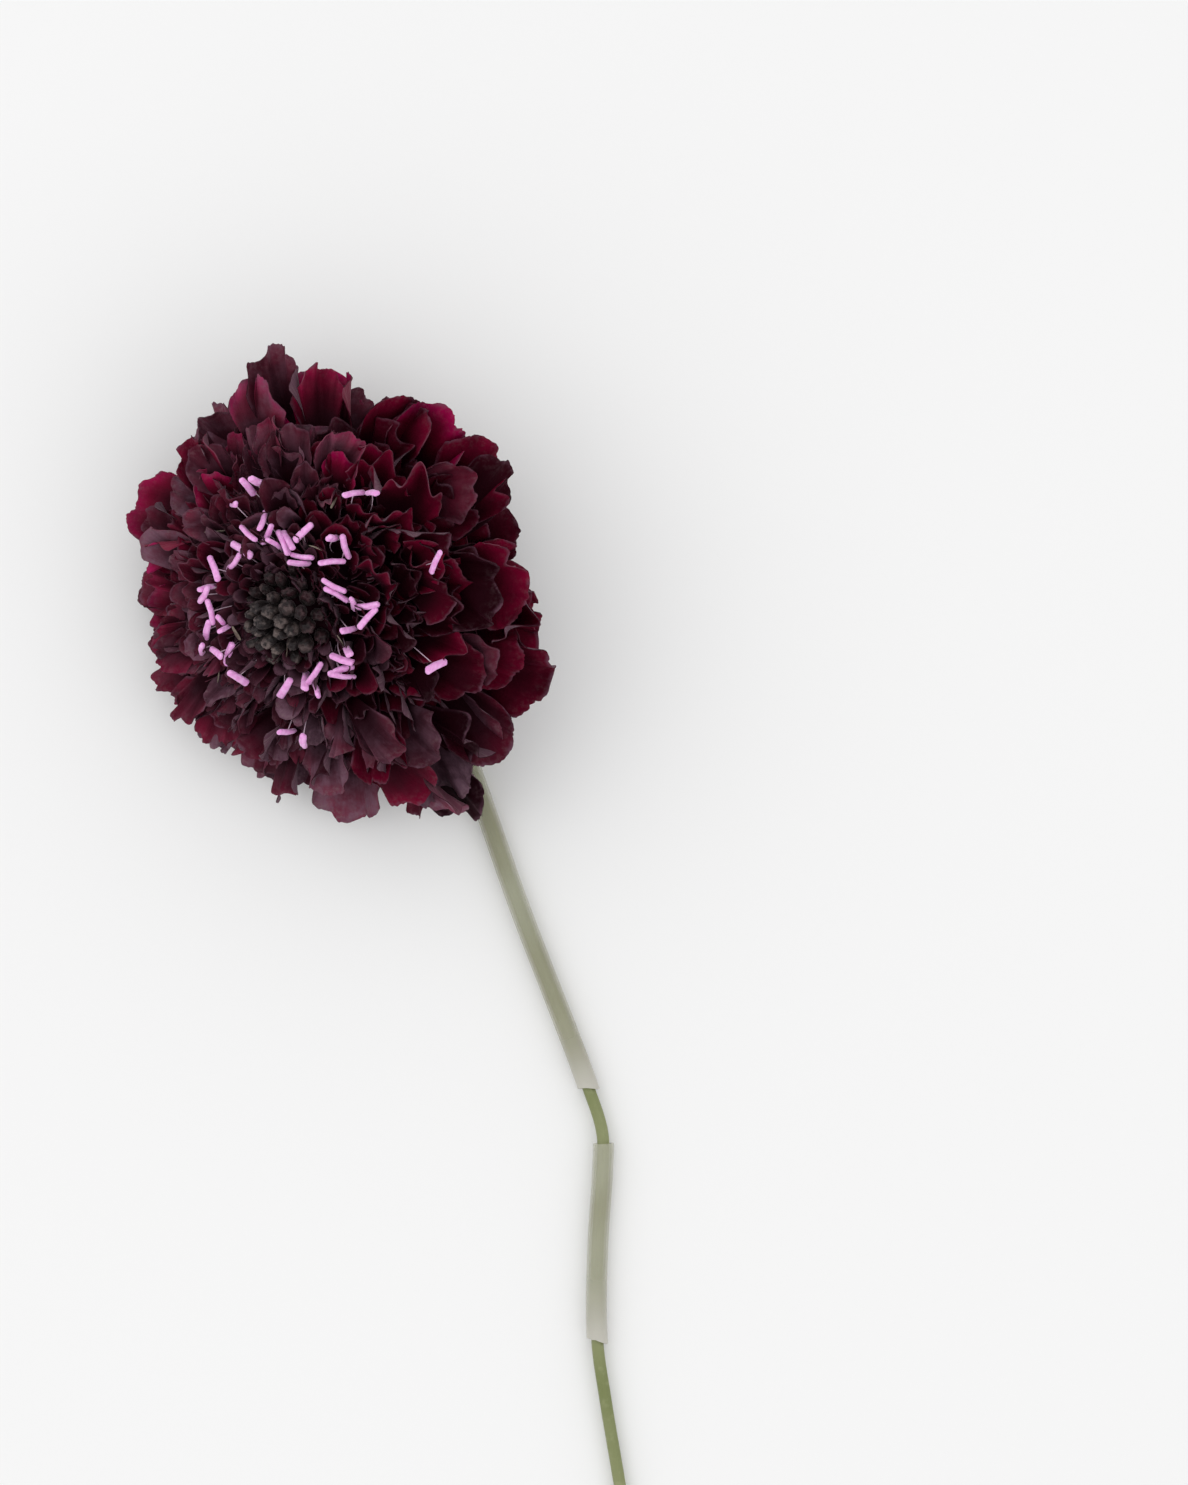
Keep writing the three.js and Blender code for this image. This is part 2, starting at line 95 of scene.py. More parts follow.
# %% Repeatable chance
TRAITS = dict(
    rise=1, angle=2, curl=3, length=4, width=5, turn=6, swing=7, roll=8, phase=10, root=11,
    left_fold=9, right_fold=19, left_cup=18, right_cup=28, crease=29, tip_in=72, tip_back=73, ruffle=74,
    left_notch=59, right_notch=61, left_depth=62, right_depth=64, tone=90, grey=91, spacing=246,
    anther_rise=22, anther_tilt=23, root_share=24, bow_x=27, bow_y=28, anther_spin=29, stoutness=30,
    bud_width=31, bud_depth=32, bud_spin=33, bud_out=34, bud_rise=35, bud_lean=36, scale_spin=37,
    leaf_length=41, leaf_angle=42, leaf_curl=43, leaf_width=44, leaf_fold=45, leaf_turn=46,
)


def noise(piece, trait):
    """A number from 0 to 1 for one trait of one piece."""
    s = math.sin(piece * 12.9898 + TRAITS[trait] * 78.233) * 43758.5453
    return s - math.floor(s)


def vary(piece, trait, spread):
    return (noise(piece, trait) * 2 - 1) * spread


def rarely(piece, trait, usual, extra):
    """Mostly near the usual number, and now and then far above it."""
    return usual + extra * noise(piece, trait) ** 4


print("piece 7 draws", round(noise(7, "length"), 3), "for its length, each time")

# %% [markdown]
# ## A way to write finishes
# A finish is mostly arithmetic on numbers that change over a surface: how far along the petal, how near
# its edge. Wiring each Math node by hand hides that arithmetic. This small class lets Python's own
# operators add the nodes, so that a finish reads as a formula.

# %% Shader arithmetic
class Value:
    """A number that changes over a surface. Python's operators on it add Math nodes."""

    def __init__(self, finish, socket):
        self.finish = finish
        self.socket = socket

    def math(self, operation, *others, clamp=False):
        settings = {"operation": operation, "use_clamp": clamp}
        return self.finish.node("ShaderNodeMath", settings, dict(enumerate(others)))

    def __add__(self, other):
        return self.math("ADD", self, other)

    def __radd__(self, other):
        return self.math("ADD", other, self)

    def __sub__(self, other):
        return self.math("SUBTRACT", self, other)

    def __rsub__(self, other):
        return self.math("SUBTRACT", other, self)

    def __mul__(self, other):
        return self.math("MULTIPLY", self, other)

    def __rmul__(self, other):
        return self.math("MULTIPLY", other, self)

    def size(self):
        return self.math("ABSOLUTE", self)

    def or_more(self, other):
        """The larger of two numbers."""
        return self.math("MAXIMUM", self, other)

    def clamped(self):
        return self.math("ADD", self, 0.0, clamp=True)

    def between(self, low, high):
        """0 below low, 1 above high, and a smooth step from one to the other."""
        settings = {"interpolation_type": "SMOOTHSTEP"}
        return self.finish.node("ShaderNodeMapRange", settings, {0: self, 1: low, 2: high})


# %% [markdown]
# ## One finish and its nodes
# Each finish is one material. A number that is the same all over is set on the surface's own socket.
# What varies comes from a pattern in space, from the piece's UV map, or from a trait stored on its points.

# %% A finish
class Finish:
    """One material, with a method for any node and shortcuts for the common ones."""

    def __init__(self, name, **sockets):
        self.material = bpy.data.materials.new(name)
        self.material.use_nodes = True
        self.tree = self.material.node_tree
        self.surface = self.tree.nodes["Principled BSDF"]
        for socket, value in sockets.items():
            self.feed(self.surface.inputs[socket.replace("_", " ")], value)

    def node(self, kind, settings=None, sockets=None, output=0):
        made = self.tree.nodes.new(kind)
        for name, setting in (settings or {}).items():
            setattr(made, name, setting)
        for place, value in (sockets or {}).items():
            self.feed(made.inputs[place], value)
        return Value(self, made.outputs[output])

    def feed(self, socket, value):
        if isinstance(value, Value):
            self.tree.links.new(value.socket, socket)
        else:
            socket.default_value = value

    def mix(self, factor, first, second):
        """A colour between two colours."""
        return self.node("ShaderNodeMix", {"data_type": "RGBA"}, {0: factor, 6: first, 7: second}, 2)

    def pattern(self, scale, detail=2.0, roughness=0.5):
        """Cloudy noise with features about 1 / scale metres across."""
        place = self.node("ShaderNodeTexCoord", output="Object")
        sockets = {"Vector": place, "Scale": scale, "Detail": detail, "Roughness": roughness}
        return self.node("ShaderNodeTexNoise", None, sockets)

    def veins(self, across, along):
        """Noise drawn out along a petal, from its claw to its edge, and unlike on petals of other tones."""
        place = self.node("ShaderNodeCombineXYZ", None, {0: across, 1: along, 2: self.trait("tone") * 90})
        return self.node("ShaderNodeTexNoise", None, {"Vector": place, "Scale": 1.0, "Detail": 2.0})

    def trait(self, name):
        return self.node("ShaderNodeAttribute", {"attribute_name": name}, output="Fac")

    def uv(self):
        """The two numbers of the piece's own UV map: across, then along."""
        split = self.node("ShaderNodeSeparateXYZ", None, {0: self.node("ShaderNodeUVMap")})
        return split, Value(self, split.socket.node.outputs[1])

    def colour(self, factor, first, second):
        self.feed(self.surface.inputs["Base Color"], self.mix(factor, first, second))

    def bump(self, height, distance):
        sockets = {"Height": height, "Distance": distance, "Strength": 1.0}
        self.feed(self.surface.inputs["Normal"], self.node("ShaderNodeBump", None, sockets))


def rgb(red, green, blue):
    return (red, green, blue, 1.0)


# %% [markdown]
# ## The petal's face
# A dark scabiosa petal is velvet: nearly black where it is thick, towards its claw, and crimson towards
# its fine edge. The black is partly its own and partly painted shade deep in the head, and a magenta glow
# is painted where light comes through the edge. It has a frost of down and a paler margin, partly its own
# and partly painted highlight. One colour for all petals would look like cut paper. So the colour follows
# each petal's UV map from claw to edge, and its tone and greyness, which it gets when it is grown. The
# greyness is partly down and partly painted sheen. The relief is fine veins and a crinkle that is stronger
# at the margin.

# %% The petal's face
NEARLY_BLACK = rgb(0.011, 0.0006, 0.0026)
CRIMSON = rgb(0.24, 0.0003, 0.03)
BACKLIT_MAGENTA = rgb(0.46, 0.0008, 0.12)
MAUVE = rgb(0.135, 0.06, 0.09)
GREY_MAUVE = rgb(0.17, 0.092, 0.13)
PALE_MAUVE = rgb(0.2, 0.13, 0.145)


def petal_face():
    finish = Finish(
        "petal face", Roughness=0.7, Specular_IOR_Level=0.03,
        Sheen_Weight=0.05, Sheen_Roughness=0.3, Sheen_Tint=rgb(0.9, 0.2, 0.4),
    )
    across, along = finish.uv()
    tone = finish.trait("tone")
    clouds = finish.pattern(150, 3.0)
    veins = finish.veins(across * 46, along * 2.2)
    # Painted shade, with the petal's own dark: near black at the claw, deep in the head, crimson towards
    # the edge.
    lit = along.between(0.5, 1.05) * (tone * 1.4) * (clouds.between(0.25, 0.65) * 0.7 + 0.3)
    body = finish.mix(lit.clamped(), NEARLY_BLACK, CRIMSON)
    # Painted light: a magenta glow where light comes through the fine edge of a bright petal.
    backlit_glow = along.between(0.74, 1.0) * tone.between(0.6, 0.9) * (0.35 + clouds * 0.6)
    body = finish.mix(backlit_glow.clamped(), body, BACKLIT_MAGENTA)
    # Greyness: partly the petal's down and the backs it shows, partly painted sheen on the side turned from
    # us.
    grey = finish.trait("grey").between(0.3, 0.95)
    patches = finish.pattern(280, 4.0, 0.6).between(0.4, 0.62)
    down = along.between(0.35, 0.9) * grey * (0.42 + patches * 0.55) * (0.6 + veins * 0.5)
    body = finish.mix(down.clamped(), body, GREY_MAUVE)
    frost = along.between(0.72, 1.0) * finish.pattern(1100, 4.0, 0.7).between(0.45, 0.68)
    body = finish.mix((frost * (0.14 + grey * 0.5)).clamped(), body, PALE_MAUVE)
    # A paler margin: partly the petal's own colour, partly a painted highlight on its edge.
    margin = along.or_more((across * 2 - 1).size()).between(0.9, 1.0) * along.between(0.4, 0.7)
    pale_lit_edge = 0.08 + finish.pattern(420, 3.0).between(0.42, 0.65) * 0.7
    finish.colour(margin * pale_lit_edge, body, MAUVE)
    crinkle = finish.pattern(600, 4.0, 0.6) * (1.1 + margin * 1.2)
    finish.bump(veins * along * 0.6 + crinkle + finish.pattern(2600, 1.0) * 0.3, 0.00017)
    return finish.material


# %% [markdown]
# ## The petal's back and its rim
# The outside of a petal is downy and greyer, with paler veins. Between the two sides runs the rim, a
# line so narrow that only its colour counts: dark, and pale here and there, partly its own colour and
# partly painted highlight.

# %% The petal's back and rim
DARK_MAUVE = rgb(0.03, 0.012, 0.018)


def petal_back():
    finish = Finish(
        "petal back", Roughness=0.78, Specular_IOR_Level=0.1,
        Sheen_Weight=0.12, Sheen_Roughness=0.5, Sheen_Tint=rgb(0.8, 0.6, 0.68),
    )
    across, along = finish.uv()
    clouds = finish.pattern(220)
    veins = finish.veins(across * 60, along * 2.5)
    # Darker towards the claw, paler towards the edge.
    down = (along.between(0.3, 1.0) * (0.3 + clouds * 0.9)).clamped()
    body = finish.mix(down, DARK_MAUVE, MAUVE)
    body = finish.mix(veins.between(0.45, 0.7) * along * 0.45, body, PALE_MAUVE)
    finish.colour(finish.trait("tone").between(0.5, 0.95) * 0.7, body, CRIMSON)
    finish.bump(veins * 1.2 + finish.pattern(700, 3.0) + finish.pattern(2600, 1.0) * 0.3, 0.00018)
    return finish.material


def petal_rim():
    finish = Finish("petal rim", Roughness=0.7, Specular_IOR_Level=0.1)
    along = finish.uv()[1]
    tone = finish.trait("tone")
    edge = finish.mix(tone.between(0.15, 0.75), rgb(0.028, 0.008, 0.013), rgb(0.19, 0.05, 0.08))
    # Pale here and there: partly the margin's own colour, partly a painted highlight.
    pale_lit_edge = along.between(0.6, 0.95) * finish.pattern(320).between(0.38, 0.62)
    finish.colour(pale_lit_edge, rgb(0.02, 0.002, 0.006), edge)
    return finish.material


PETAL_FINISHES = [petal_face(), petal_back(), petal_rim()]
print("petals have", len(PETAL_FINISHES), "finishes")

# %% [markdown]
# ## The stem's line
# The stem follows one smooth curve: straight down from the head, over a short bend, and away along the
# table. A centripetal Catmull-Rom spline passes through all its points and never loops where they crowd
# together, so it suits the laid part. A Bezier curve joins the neck to it, because it keeps to the
# directions at its two ends.

# %% Smooth lines
def catmull_rom(points, steps):
    """A smooth line through points, with a number of steps between each two."""
    first = 2 * points[0] - points[1]
    last = 2 * points[-1] - points[-2]
    knots = [first, *points, last]
    line = []
    for a, b, c, d in zip(knots, knots[1:], knots[2:], knots[3:]):
        t1 = math.sqrt((b - a).length)
        t2 = t1 + math.sqrt((c - b).length)
        t3 = t2 + math.sqrt((d - c).length)
        for i in range(steps):
            t = t1 + (t2 - t1) * i / steps
            ab = a.lerp(b, t / t1)
            bc = b.lerp(c, (t - t1) / (t2 - t1))
            cd = c.lerp(d, (t - t2) / (t3 - t2))
            before = ab.lerp(bc, t / t2)
            after = bc.lerp(cd, (t - t1) / (t3 - t1))
            line.append(before.lerp(after, (t - t1) / (t2 - t1)))
    return line + [points[-1]]


def bezier(a, b, c, d, s):
    return a * (1 - s) ** 3 + b * 3 * s * (1 - s) ** 2 + c * 3 * s * s * (1 - s) + d * s**3


corner_line = catmull_rom([Vector((0, 0, 0)), Vector((1, 0, 0)), Vector((1, 1, 0))], 2)
print("round a corner of three points, a smooth line has", len(corner_line))

# %% The stem's line
GAP = 0.3
DISC_HEIGHT = 2.0
NECK_REACH = 6.5
NECK_STEPS = 6
LINE_STEPS = 12
STRAW_BORE = STEM_RADIUS + GAP + 0.05
STRAW_RADIUS = STRAW_BORE + 0.3
STEM_ROUTE = [
    (-25.2, 13.6, STRAW_RADIUS + 0.25),
    (-17.8, -7.1, STRAW_RADIUS),
    (-11.5, -25.1, STRAW_RADIUS),
    (-1.2, -52, STRAW_RADIUS),
    (1.3, -60, STRAW_RADIUS),
    (1.3, -66, STRAW_RADIUS),
    (0.6, -77, STRAW_RADIUS),
    (0.5, -91.5, STRAW_RADIUS),
    (1.8, -101, STRAW_RADIUS - 0.1),
    (4.6, -118, STRAW_RADIUS - 0.4),
    (8.2, -146, STEM_RADIUS + 0.05),
    (10.4, -181, STEM_RADIUS),
]

route = [Vector(place) + slide for place in STEM_ROUTE]
neck_top = Vector(head_seat) - head_axis * (DISC_HEIGHT + GAP)
laid_way = (route[1] - route[0]).normalized()
neck_controls = (neck_top, neck_top - head_axis * NECK_REACH, route[0] - laid_way * NECK_REACH, route[0])
neck = [bezier(*neck_controls, i / NECK_STEPS) for i in range(NECK_STEPS)]
stem_line = catmull_rom(neck + route, LINE_STEPS)
print("the stem's line has", len(stem_line), "points")


def stretch(start, end):
    """The part of the stem's line between the points nearest two places."""
    def nearest(place):
        target = Vector((*place, 0)) + slide
        return min(range(len(stem_line)), key=lambda i: (stem_line[i].xy - target.xy).length)
    return stem_line[nearest(start):nearest(end) + 1]


# %% [markdown]
# ## Laying flat what would go through the table
# The lowest petals lie down on the table. A point that would fall below it eases to a small height
# instead, so that the petal curves down and then runs along the surface. The laid straw is in the way
# of some, so the floor that petals rest on has a smooth ridge over it.

# %% Settling on the table
SETTLE_FROM = 1.8
SETTLE_TO = 0.22
RIDGE_HEIGHT = 2 * STRAW_RADIUS + 0.6
RIDGE_WIDTH = 2.4
RIDGE_STRIDE = 6

laid_part = stretch(STEM_ROUTE[0][:2], STEM_ROUTE[3][:2])
laid_line = np.array([place.xy for place in laid_part[::RIDGE_STRIDE]])


def from_straw(points):
    """How far points are, seen from above, from the line of the laid straw."""
    nearest = np.full(len(points), np.inf)
    for start, end in zip(laid_line, laid_line[1:]):
        ahead = end - start
        share = np.clip((points - start) @ ahead / (ahead @ ahead), 0, 1)
        nearest = np.minimum(nearest, np.linalg.norm(points - start - share[:, None] * ahead, axis=1))
    return nearest


def settle(points):
    drop = SETTLE_FROM - SETTLE_TO
    low = np.minimum(0.0, points[:, 2] - SETTLE_FROM)
    points[:, 2] = np.where(low < 0, SETTLE_TO + drop * np.exp(low / drop), points[:, 2])
    if points[:, 2].min() < RIDGE_HEIGHT:
        ridge = RIDGE_HEIGHT * np.exp(-((from_straw(points[:, :2]) / RIDGE_WIDTH) ** 2))
        points[:, 2] = np.maximum(points[:, 2], ridge)
    return points


print("petals over the straw lie on a ridge", round(RIDGE_HEIGHT, 2), "mm high")

# %% [markdown]
# ## The petal's form
# A ray floret has a narrow claw that opens into a fan with a lobed, cut edge. The fan is cupped, curled
# back, twisted and ruffled. Modelling hundreds of them by hand would take days. One flat pattern is
# modelled instead, and a formula bends each copy of it by the petal's own traits.
#
# The traits follow five whorls. A laid head is pressed out of round, so a table says how far it reaches
# each way. On one side its petals stand up folded, and on another they are narrow.

# %% The whorls
REACH_WAYS = (16, 30, 71, 106, 135, 167, 190, 210, 230, 254, 282, 300, 316, 332, 348)
REACHES = (1.05, 0.96, 0.98, 1.09, 1.0, 0.94, 0.86, 0.97, 1.05, 1.03, 1.12, 1.29, 1.15, 1.1, 0.93)
INNER_REACH = 0.4
FOLDED_SIDE = math.radians(98)
TONGUE_SIDE = math.radians(250)

WHORLS = [
    dict(start=305, count=8, root=5.6, rise=1.6, angle=130, curl=24, length=18, width=11.5),
    dict(start=209, count=11, root=8, rise=3, angle=103, curl=22, length=21, width=14),
    dict(start=333, count=13, root=9.6, rise=5, angle=88, curl=20, length=24, width=14.5),
    dict(start=12, count=13, root=10.2, rise=8, angle=74, curl=22, length=22.5, width=13.5),
    dict(start=56, count=13, root=10.2, rise=11, angle=62, curl=26, length=18.5, width=11.5),
]


def towards(turn, side):
    """1 for a petal on one side of the head, falling to 0 for those a quarter turn away and beyond."""
    return max(0.0, math.cos(turn - side))


def reach(turn):
    """How far the head reaches one way, against a round one."""
    return float(np.interp(math.degrees(turn) % 360, REACH_WAYS, REACHES, period=360))


print("the head reaches from", min(REACHES), "to", max(REACHES), "of a round one")


# %% The petal's traits
def both_cups(piece, spread, usual, extra):
    """How much the left and the right of a petal curl up."""
    return tuple(
        vary(piece, side + "_cup", spread) + rarely(piece, side + "_fold", usual, extra)
        for side in ("left", "right")
    )


def tip_bend(piece, usual, back, inwards):
    """How far a tip bends back, in degrees at most, less how far it bends inwards now and then."""
    return math.radians(rarely(piece, "tip_back", usual, back) - rarely(piece, "tip_in", 0, inwards))


def petal_traits(w, k):
    """The traits of petal k of whorl w. The lower whorls are pressed between others, so they lie calmer."""
    whorl = WHORLS[w]
    piece = w * 100 + k
    unrest = 0.25 + 0.2 * w
    step = 2 * math.pi / whorl["count"]
    turn = math.radians(whorl["start"]) + step * (k + vary(piece, "spacing", 0.2))
    folded = towards(turn, FOLDED_SIDE) ** 4
    pressed = 1 + (reach(turn) - 1) * (1 if w < 4 else INNER_REACH)
    narrowed = 0.17 * max(0, w - 2) * towards(turn, TONGUE_SIDE)
    return dict(
        piece=piece,
        step=step,
        root=whorl["root"],
        rise=whorl["rise"] + vary(piece, "rise", 0.5),
        angle=math.radians(whorl["angle"] + vary(piece, "angle", 6)),
        curl=math.radians(whorl["curl"] + vary(piece, "curl", 12)),
        length=whorl["length"] * (pressed + vary(piece, "length", 0.09 + 0.06 * folded)),
        width=whorl["width"] * (1 + vary(piece, "width", 0.16) - 0.3 * folded - narrowed),
        turn=turn,
        swing=vary(piece, "swing", 0.22),
        roll=0.2 + vary(piece, "roll", 0.45 * unrest),
        cups=both_cups(piece, 0.3, 1.3 * folded, 2.2 * unrest),
        crease=rarely(piece, "crease", 0.05 + 0.5 * folded, 0.4 * unrest),
        ruffle=rarely(piece, "ruffle", 0.7 + 0.6 * folded, 1.0),
        tip=tip_bend(piece, 12, 45, 95 * unrest),
        phase=noise(piece, "phase") * 2 * math.pi,
        ragged=1.0,
        round=0.34,
    )


print("the first petal is", round(petal_traits(0, 0)["length"], 1), "mm long")

# %% [markdown]
# ## The petal's outline
# First the flat shape: a strip for the claw, then a fan whose rays end at a ragged edge, with fine teeth,
# finer lace and a notch between each two lobes.

# %% The petal's outline
CLAW_END = 0.36
CLAW_WIDTH = 0.22
LOBE_AT = 0.36
LOBE_WIDTH = 0.13
TEETH = 9
LACE = 0.003


def edge_reach(t, v):
    """How far the ragged edge reaches at v, as a share of the fan's length."""
    piece = t["piece"]
    uneven = v + 0.04 * np.sin(v * 8 + piece) + 0.02 * np.sin(v * 19 + piece)
    cuts = 0.02 * np.abs(np.sin(uneven * np.pi * TEETH)) * (0.6 + 0.4 * np.sin(v * 6 + piece * 2))
    cuts += LACE * np.sin(v * 150 + piece)
    for side, way in (("left", -1), ("right", 1)):
        notch = (v - way * LOBE_AT - vary(piece, side + "_notch", 0.12)) / LOBE_WIDTH
        cuts = cuts - (0.02 + 0.17 * noise(piece, side + "_depth") ** 3) * np.exp(-notch * notch)
    return 1 - t["round"] * np.abs(v) ** 2.3 + t["ragged"] * cuts


def outline(t, u, v):
    """The flat petal: how far across and how far along a point is, and how open the fan is there."""
    opening = np.clip((u - CLAW_END) / (1 - CLAW_END), 0, 1)
    claw = t["width"] / 2 * CLAW_WIDTH * v * (0.7 + 0.3 * np.minimum(u / CLAW_END, 1))
    fan = t["length"] * (1 - CLAW_END)
    spread = math.asin(min(0.95, t["width"] / 2 * (1 - CLAW_WIDTH) / (fan * (1 - t["round"] * 0.7))))
    reached = fan * opening * edge_reach(t, v)
    across = claw + reached * np.sin(v * spread)
    return across, t["length"] * np.minimum(u, CLAW_END) + reached * np.cos(v * spread), opening


large = petal_traits(2, 0)
edge_middle = (np.array([1.0]), np.array([0.0]))
print("a large petal is", round(float(outline(large, *edge_middle)[1][0]), 1), "mm long when flat")

# %% [markdown]
# ## The petal's bends
# Then the bends: each side curls up into a cup, waves and a frill run over the edge, the whole petal
# arches outwards along its length, and it turns and rolls about the head. The bends are worked out as
# arcs, so that a petal that folds doesn't also stretch.

# %% The petal's bends
CURL_STEPS = 10
ARCH_STEPS = 60
TIP_FROM = 0.62


def curled_side(across, cup, half):
    """Where a distance across lands, and how high, on a side that curls up more towards its edge."""
    sideways = 0 * across
    raised = 0 * across
    for k in range(CURL_STEPS):
        bend = cup * np.abs((k + 0.5) / CURL_STEPS * across / half) ** 1.6
        sideways += np.cos(bend) * across / CURL_STEPS
        raised += np.sin(bend) * np.abs(across) / CURL_STEPS
    return sideways, raised


def arch(t, along):
    """How far out, how high and how steep the petal is at a distance along it."""
    run = np.linspace(0, 1.1 * t["length"], ARCH_STEPS)
    share = run / t["length"]
    tip = np.clip((share - TIP_FROM) / (1 - TIP_FROM), 0, 1.2) ** 2
    slope = t["angle"] + t["curl"] * share + t["tip"] * tip
    step = run[1] - run[0]
    radius = t["root"] + np.interp(along, run, np.cumsum(np.sin(slope)) * step)
    rise = t["rise"] + np.interp(along, run, np.cumsum(np.cos(slope)) * step)
    return radius, rise, np.interp(along, run, slope)


def petal_points(t, u, v):
    """Points of a petal on the head: u runs from claw to edge, v from side to side."""
    across, along, opening = outline(t, u, v)
    cup = np.where(v < 0, *t["cups"]) * (0.3 + 0.7 * opening)
    across, hollow = curled_side(across, cup, t["width"] / 2)
    hollow += t["crease"] * np.abs(across) * opening
    wave = t["ruffle"] * opening**2 * np.sin(v * np.pi * 1.7 + t["phase"])
    frill = 0.85 * t["ruffle"] * opening**5 * np.sin(v * 12 + t["phase"] * 2 + 2 * u)
    raised = (hollow + wave + frill)[:, None]
    radius, rise, angle = arch(t, along)

    turn = t["turn"] + t["swing"] * u
    out = np.stack([np.cos(turn), np.sin(turn), 0 * u], 1)
    aside = np.stack([-np.sin(turn), np.cos(turn), 0 * u], 1)
    facing = -np.cos(angle)[:, None] * out + np.stack([0 * u, 0 * u, np.sin(angle)], 1)
    roll = (t["roll"] * u)[:, None]
    side = aside * np.cos(roll) + facing * np.sin(roll)
    lift = facing * np.cos(roll) - aside * np.sin(roll)
    seat = out * radius[:, None] + np.stack([0 * u, 0 * u, rise], 1)
    return seat + side * across[:, None] + lift * raised


tip = petal_points(large, *edge_middle)[0]
print("bent, its tip is", round(math.hypot(tip[0], tip[1]), 1), "mm out from the head's axis")

# %% [markdown]
# ## The flat pattern
# The pattern is a grid. Its rows are crowded towards the far edge, where the ruffles and cuts are, and
# are sparse at the claw, which no one sees. The grid's own UV map is kept: it tells the finish where it
# is on the petal. The large petals need fine columns for their cut edge, and the small ones don't.

# %% The flat patterns
def deselect():
    for thing in list(bpy.context.selected_objects):
        thing.select_set(False)


def flat_pattern(name, columns, rows):
    """The mesh of a flat grid, one unit long and two wide, with rows crowded towards the far edge."""
    deselect()
    bpy.ops.mesh.primitive_grid_add(x_subdivisions=columns, y_subdivisions=rows, size=2)
    pattern = bpy.context.object
    bpy.ops.object.mode_set(mode="EDIT")
    bpy.ops.transform.translate(value=(0, 1, 0))
    bpy.ops.transform.resize(value=(1, 0.5, 1), center_override=(0, 0, 0))
    bpy.ops.object.mode_set(mode="OBJECT")
    mesh = pattern.data
    mesh.name = name
    for corner in mesh.vertices:
        corner.co.y = 1 - (1 - corner.co.y) ** 1.5
    bpy.data.objects.remove(pattern)
    print(name, "has", len(mesh.polygons), "faces")
    return mesh


FAN_PATTERN = flat_pattern("fan pattern", 64, 9)
MIDDLE_PATTERN = flat_pattern("middle pattern", 30, 7)
SPOON_PATTERN = flat_pattern("spoon pattern", 8, 5)

# %% [markdown]
# ## From pattern to petal
# Each petal is a copy of the pattern with its points moved, so every petal has its own mesh. Its tone,
# how crimson it is, and its greyness, how much down it shows, are stored on its points for the finish.

# %% Growing one petal
def store(mesh, name, values):
    mesh.attributes.new(name, "FLOAT", "POINT").data.foreach_set("value", values)


def linked(name, mesh):
    piece = bpy.data.objects.new(name, mesh)
    bpy.context.collection.objects.link(piece)
    return piece


def grow(pattern, points_of, traits, tone=0.0, grey=0.0):
    """One petal: a copy of the pattern, bent into place by a formula and its traits."""
    mesh = pattern.copy()
    flat = np.empty(len(mesh.vertices) * 3)
    mesh.vertices.foreach_get("co", flat)
    flat = flat.reshape(-1, 3)
    points = settle(onto_table(points_of(traits, flat[:, 1], -flat[:, 0]))) * MM
    mesh.vertices.foreach_set("co", points.ravel())
    store(mesh, "tone", [tone] * len(flat))
    store(mesh, "grey", [grey] * len(flat))
    return linked("petal", mesh)


# %% [markdown]
# ## From petals to a piece
# A layer of petals is joined into one piece and given its thickness. The Solidify modifier gives out the
# three finishes by itself: the face, the next one for the back, and the one after that for the rim. Every
# finished piece is then handed over: it stands for a node of the frame and rides on its body.

# %% Finishing pieces
PETAL_THICKNESS = 0.12
PETAL_SHARPNESS = 50


def choose(piece):
    """Selects one piece alone, as the active one."""
    deselect()
    piece.select_set(True)
    bpy.context.view_layer.objects.active = piece


def joined(pieces, name):
    choose(pieces[0])
    for piece in pieces:
        piece.select_set(True)
    bpy.ops.object.join()
    whole = bpy.context.object
    whole.name = name
    whole.data.name = name
    return whole


def thicken(piece, thickness, offset=0):
    """Gives a sheet its thickness, to both sides of it, or with an offset of -1 to its inside."""
    solidify = piece.modifiers.new("thickness", "SOLIDIFY")
    solidify.thickness = thickness * MM
    solidify.offset = offset
    solidify.material_offset = 1
    solidify.material_offset_rim = 2
    bpy.context.view_layer.objects.active = piece
    bpy.ops.object.modifier_apply(modifier=solidify.name)


def dress(piece, *materials):
    piece.data.materials.clear()
    for material in materials:
        piece.data.materials.append(material)


def smooth(piece, sharpness):
    """Smooth faces, but for edges sharper than an angle in degrees."""
    choose(piece)
    bpy.ops.object.shade_smooth_by_angle(angle=math.radians(sharpness))


def hand_over(piece, node):
    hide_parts(node)
    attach(piece, "root")
    print(piece.name, "has", len(piece.data.polygons), "faces")


def petal_layer(petals, name):
    """Petals as one piece of the head."""
    layer = joined(petals, name)
    dress(layer, *PETAL_FINISHES)
    thicken(layer, PETAL_THICKNESS)
    smooth(layer, PETAL_SHARPNESS)
    hand_over(layer, "florets")


# %% [markdown]
# ## The lobes of a ray floret
# Each ray floret has five lobes. The largest lies behind, two smaller ones stand beside it and overlap
# their neighbours, and two short ones stand nearly upright in front, where they fold and show their
# backs. That is what makes a double head look crumpled, so each lobe is grown as a petal of its own.
# The lowest florets have no room for the front ones.

# %% The lobes' traits
SIDE_LOBE = dict(
    first=3000, length=0.9, width=0.82, angle=-5, spread=10, at=0.44, narrowing=0.1, round=0.38
)
FRONT_LOBE = dict(
    first=4000, length=0.64, width=0.56, angle=-26, spread=16, at=0.2, narrowing=0.45, round=0.5
)


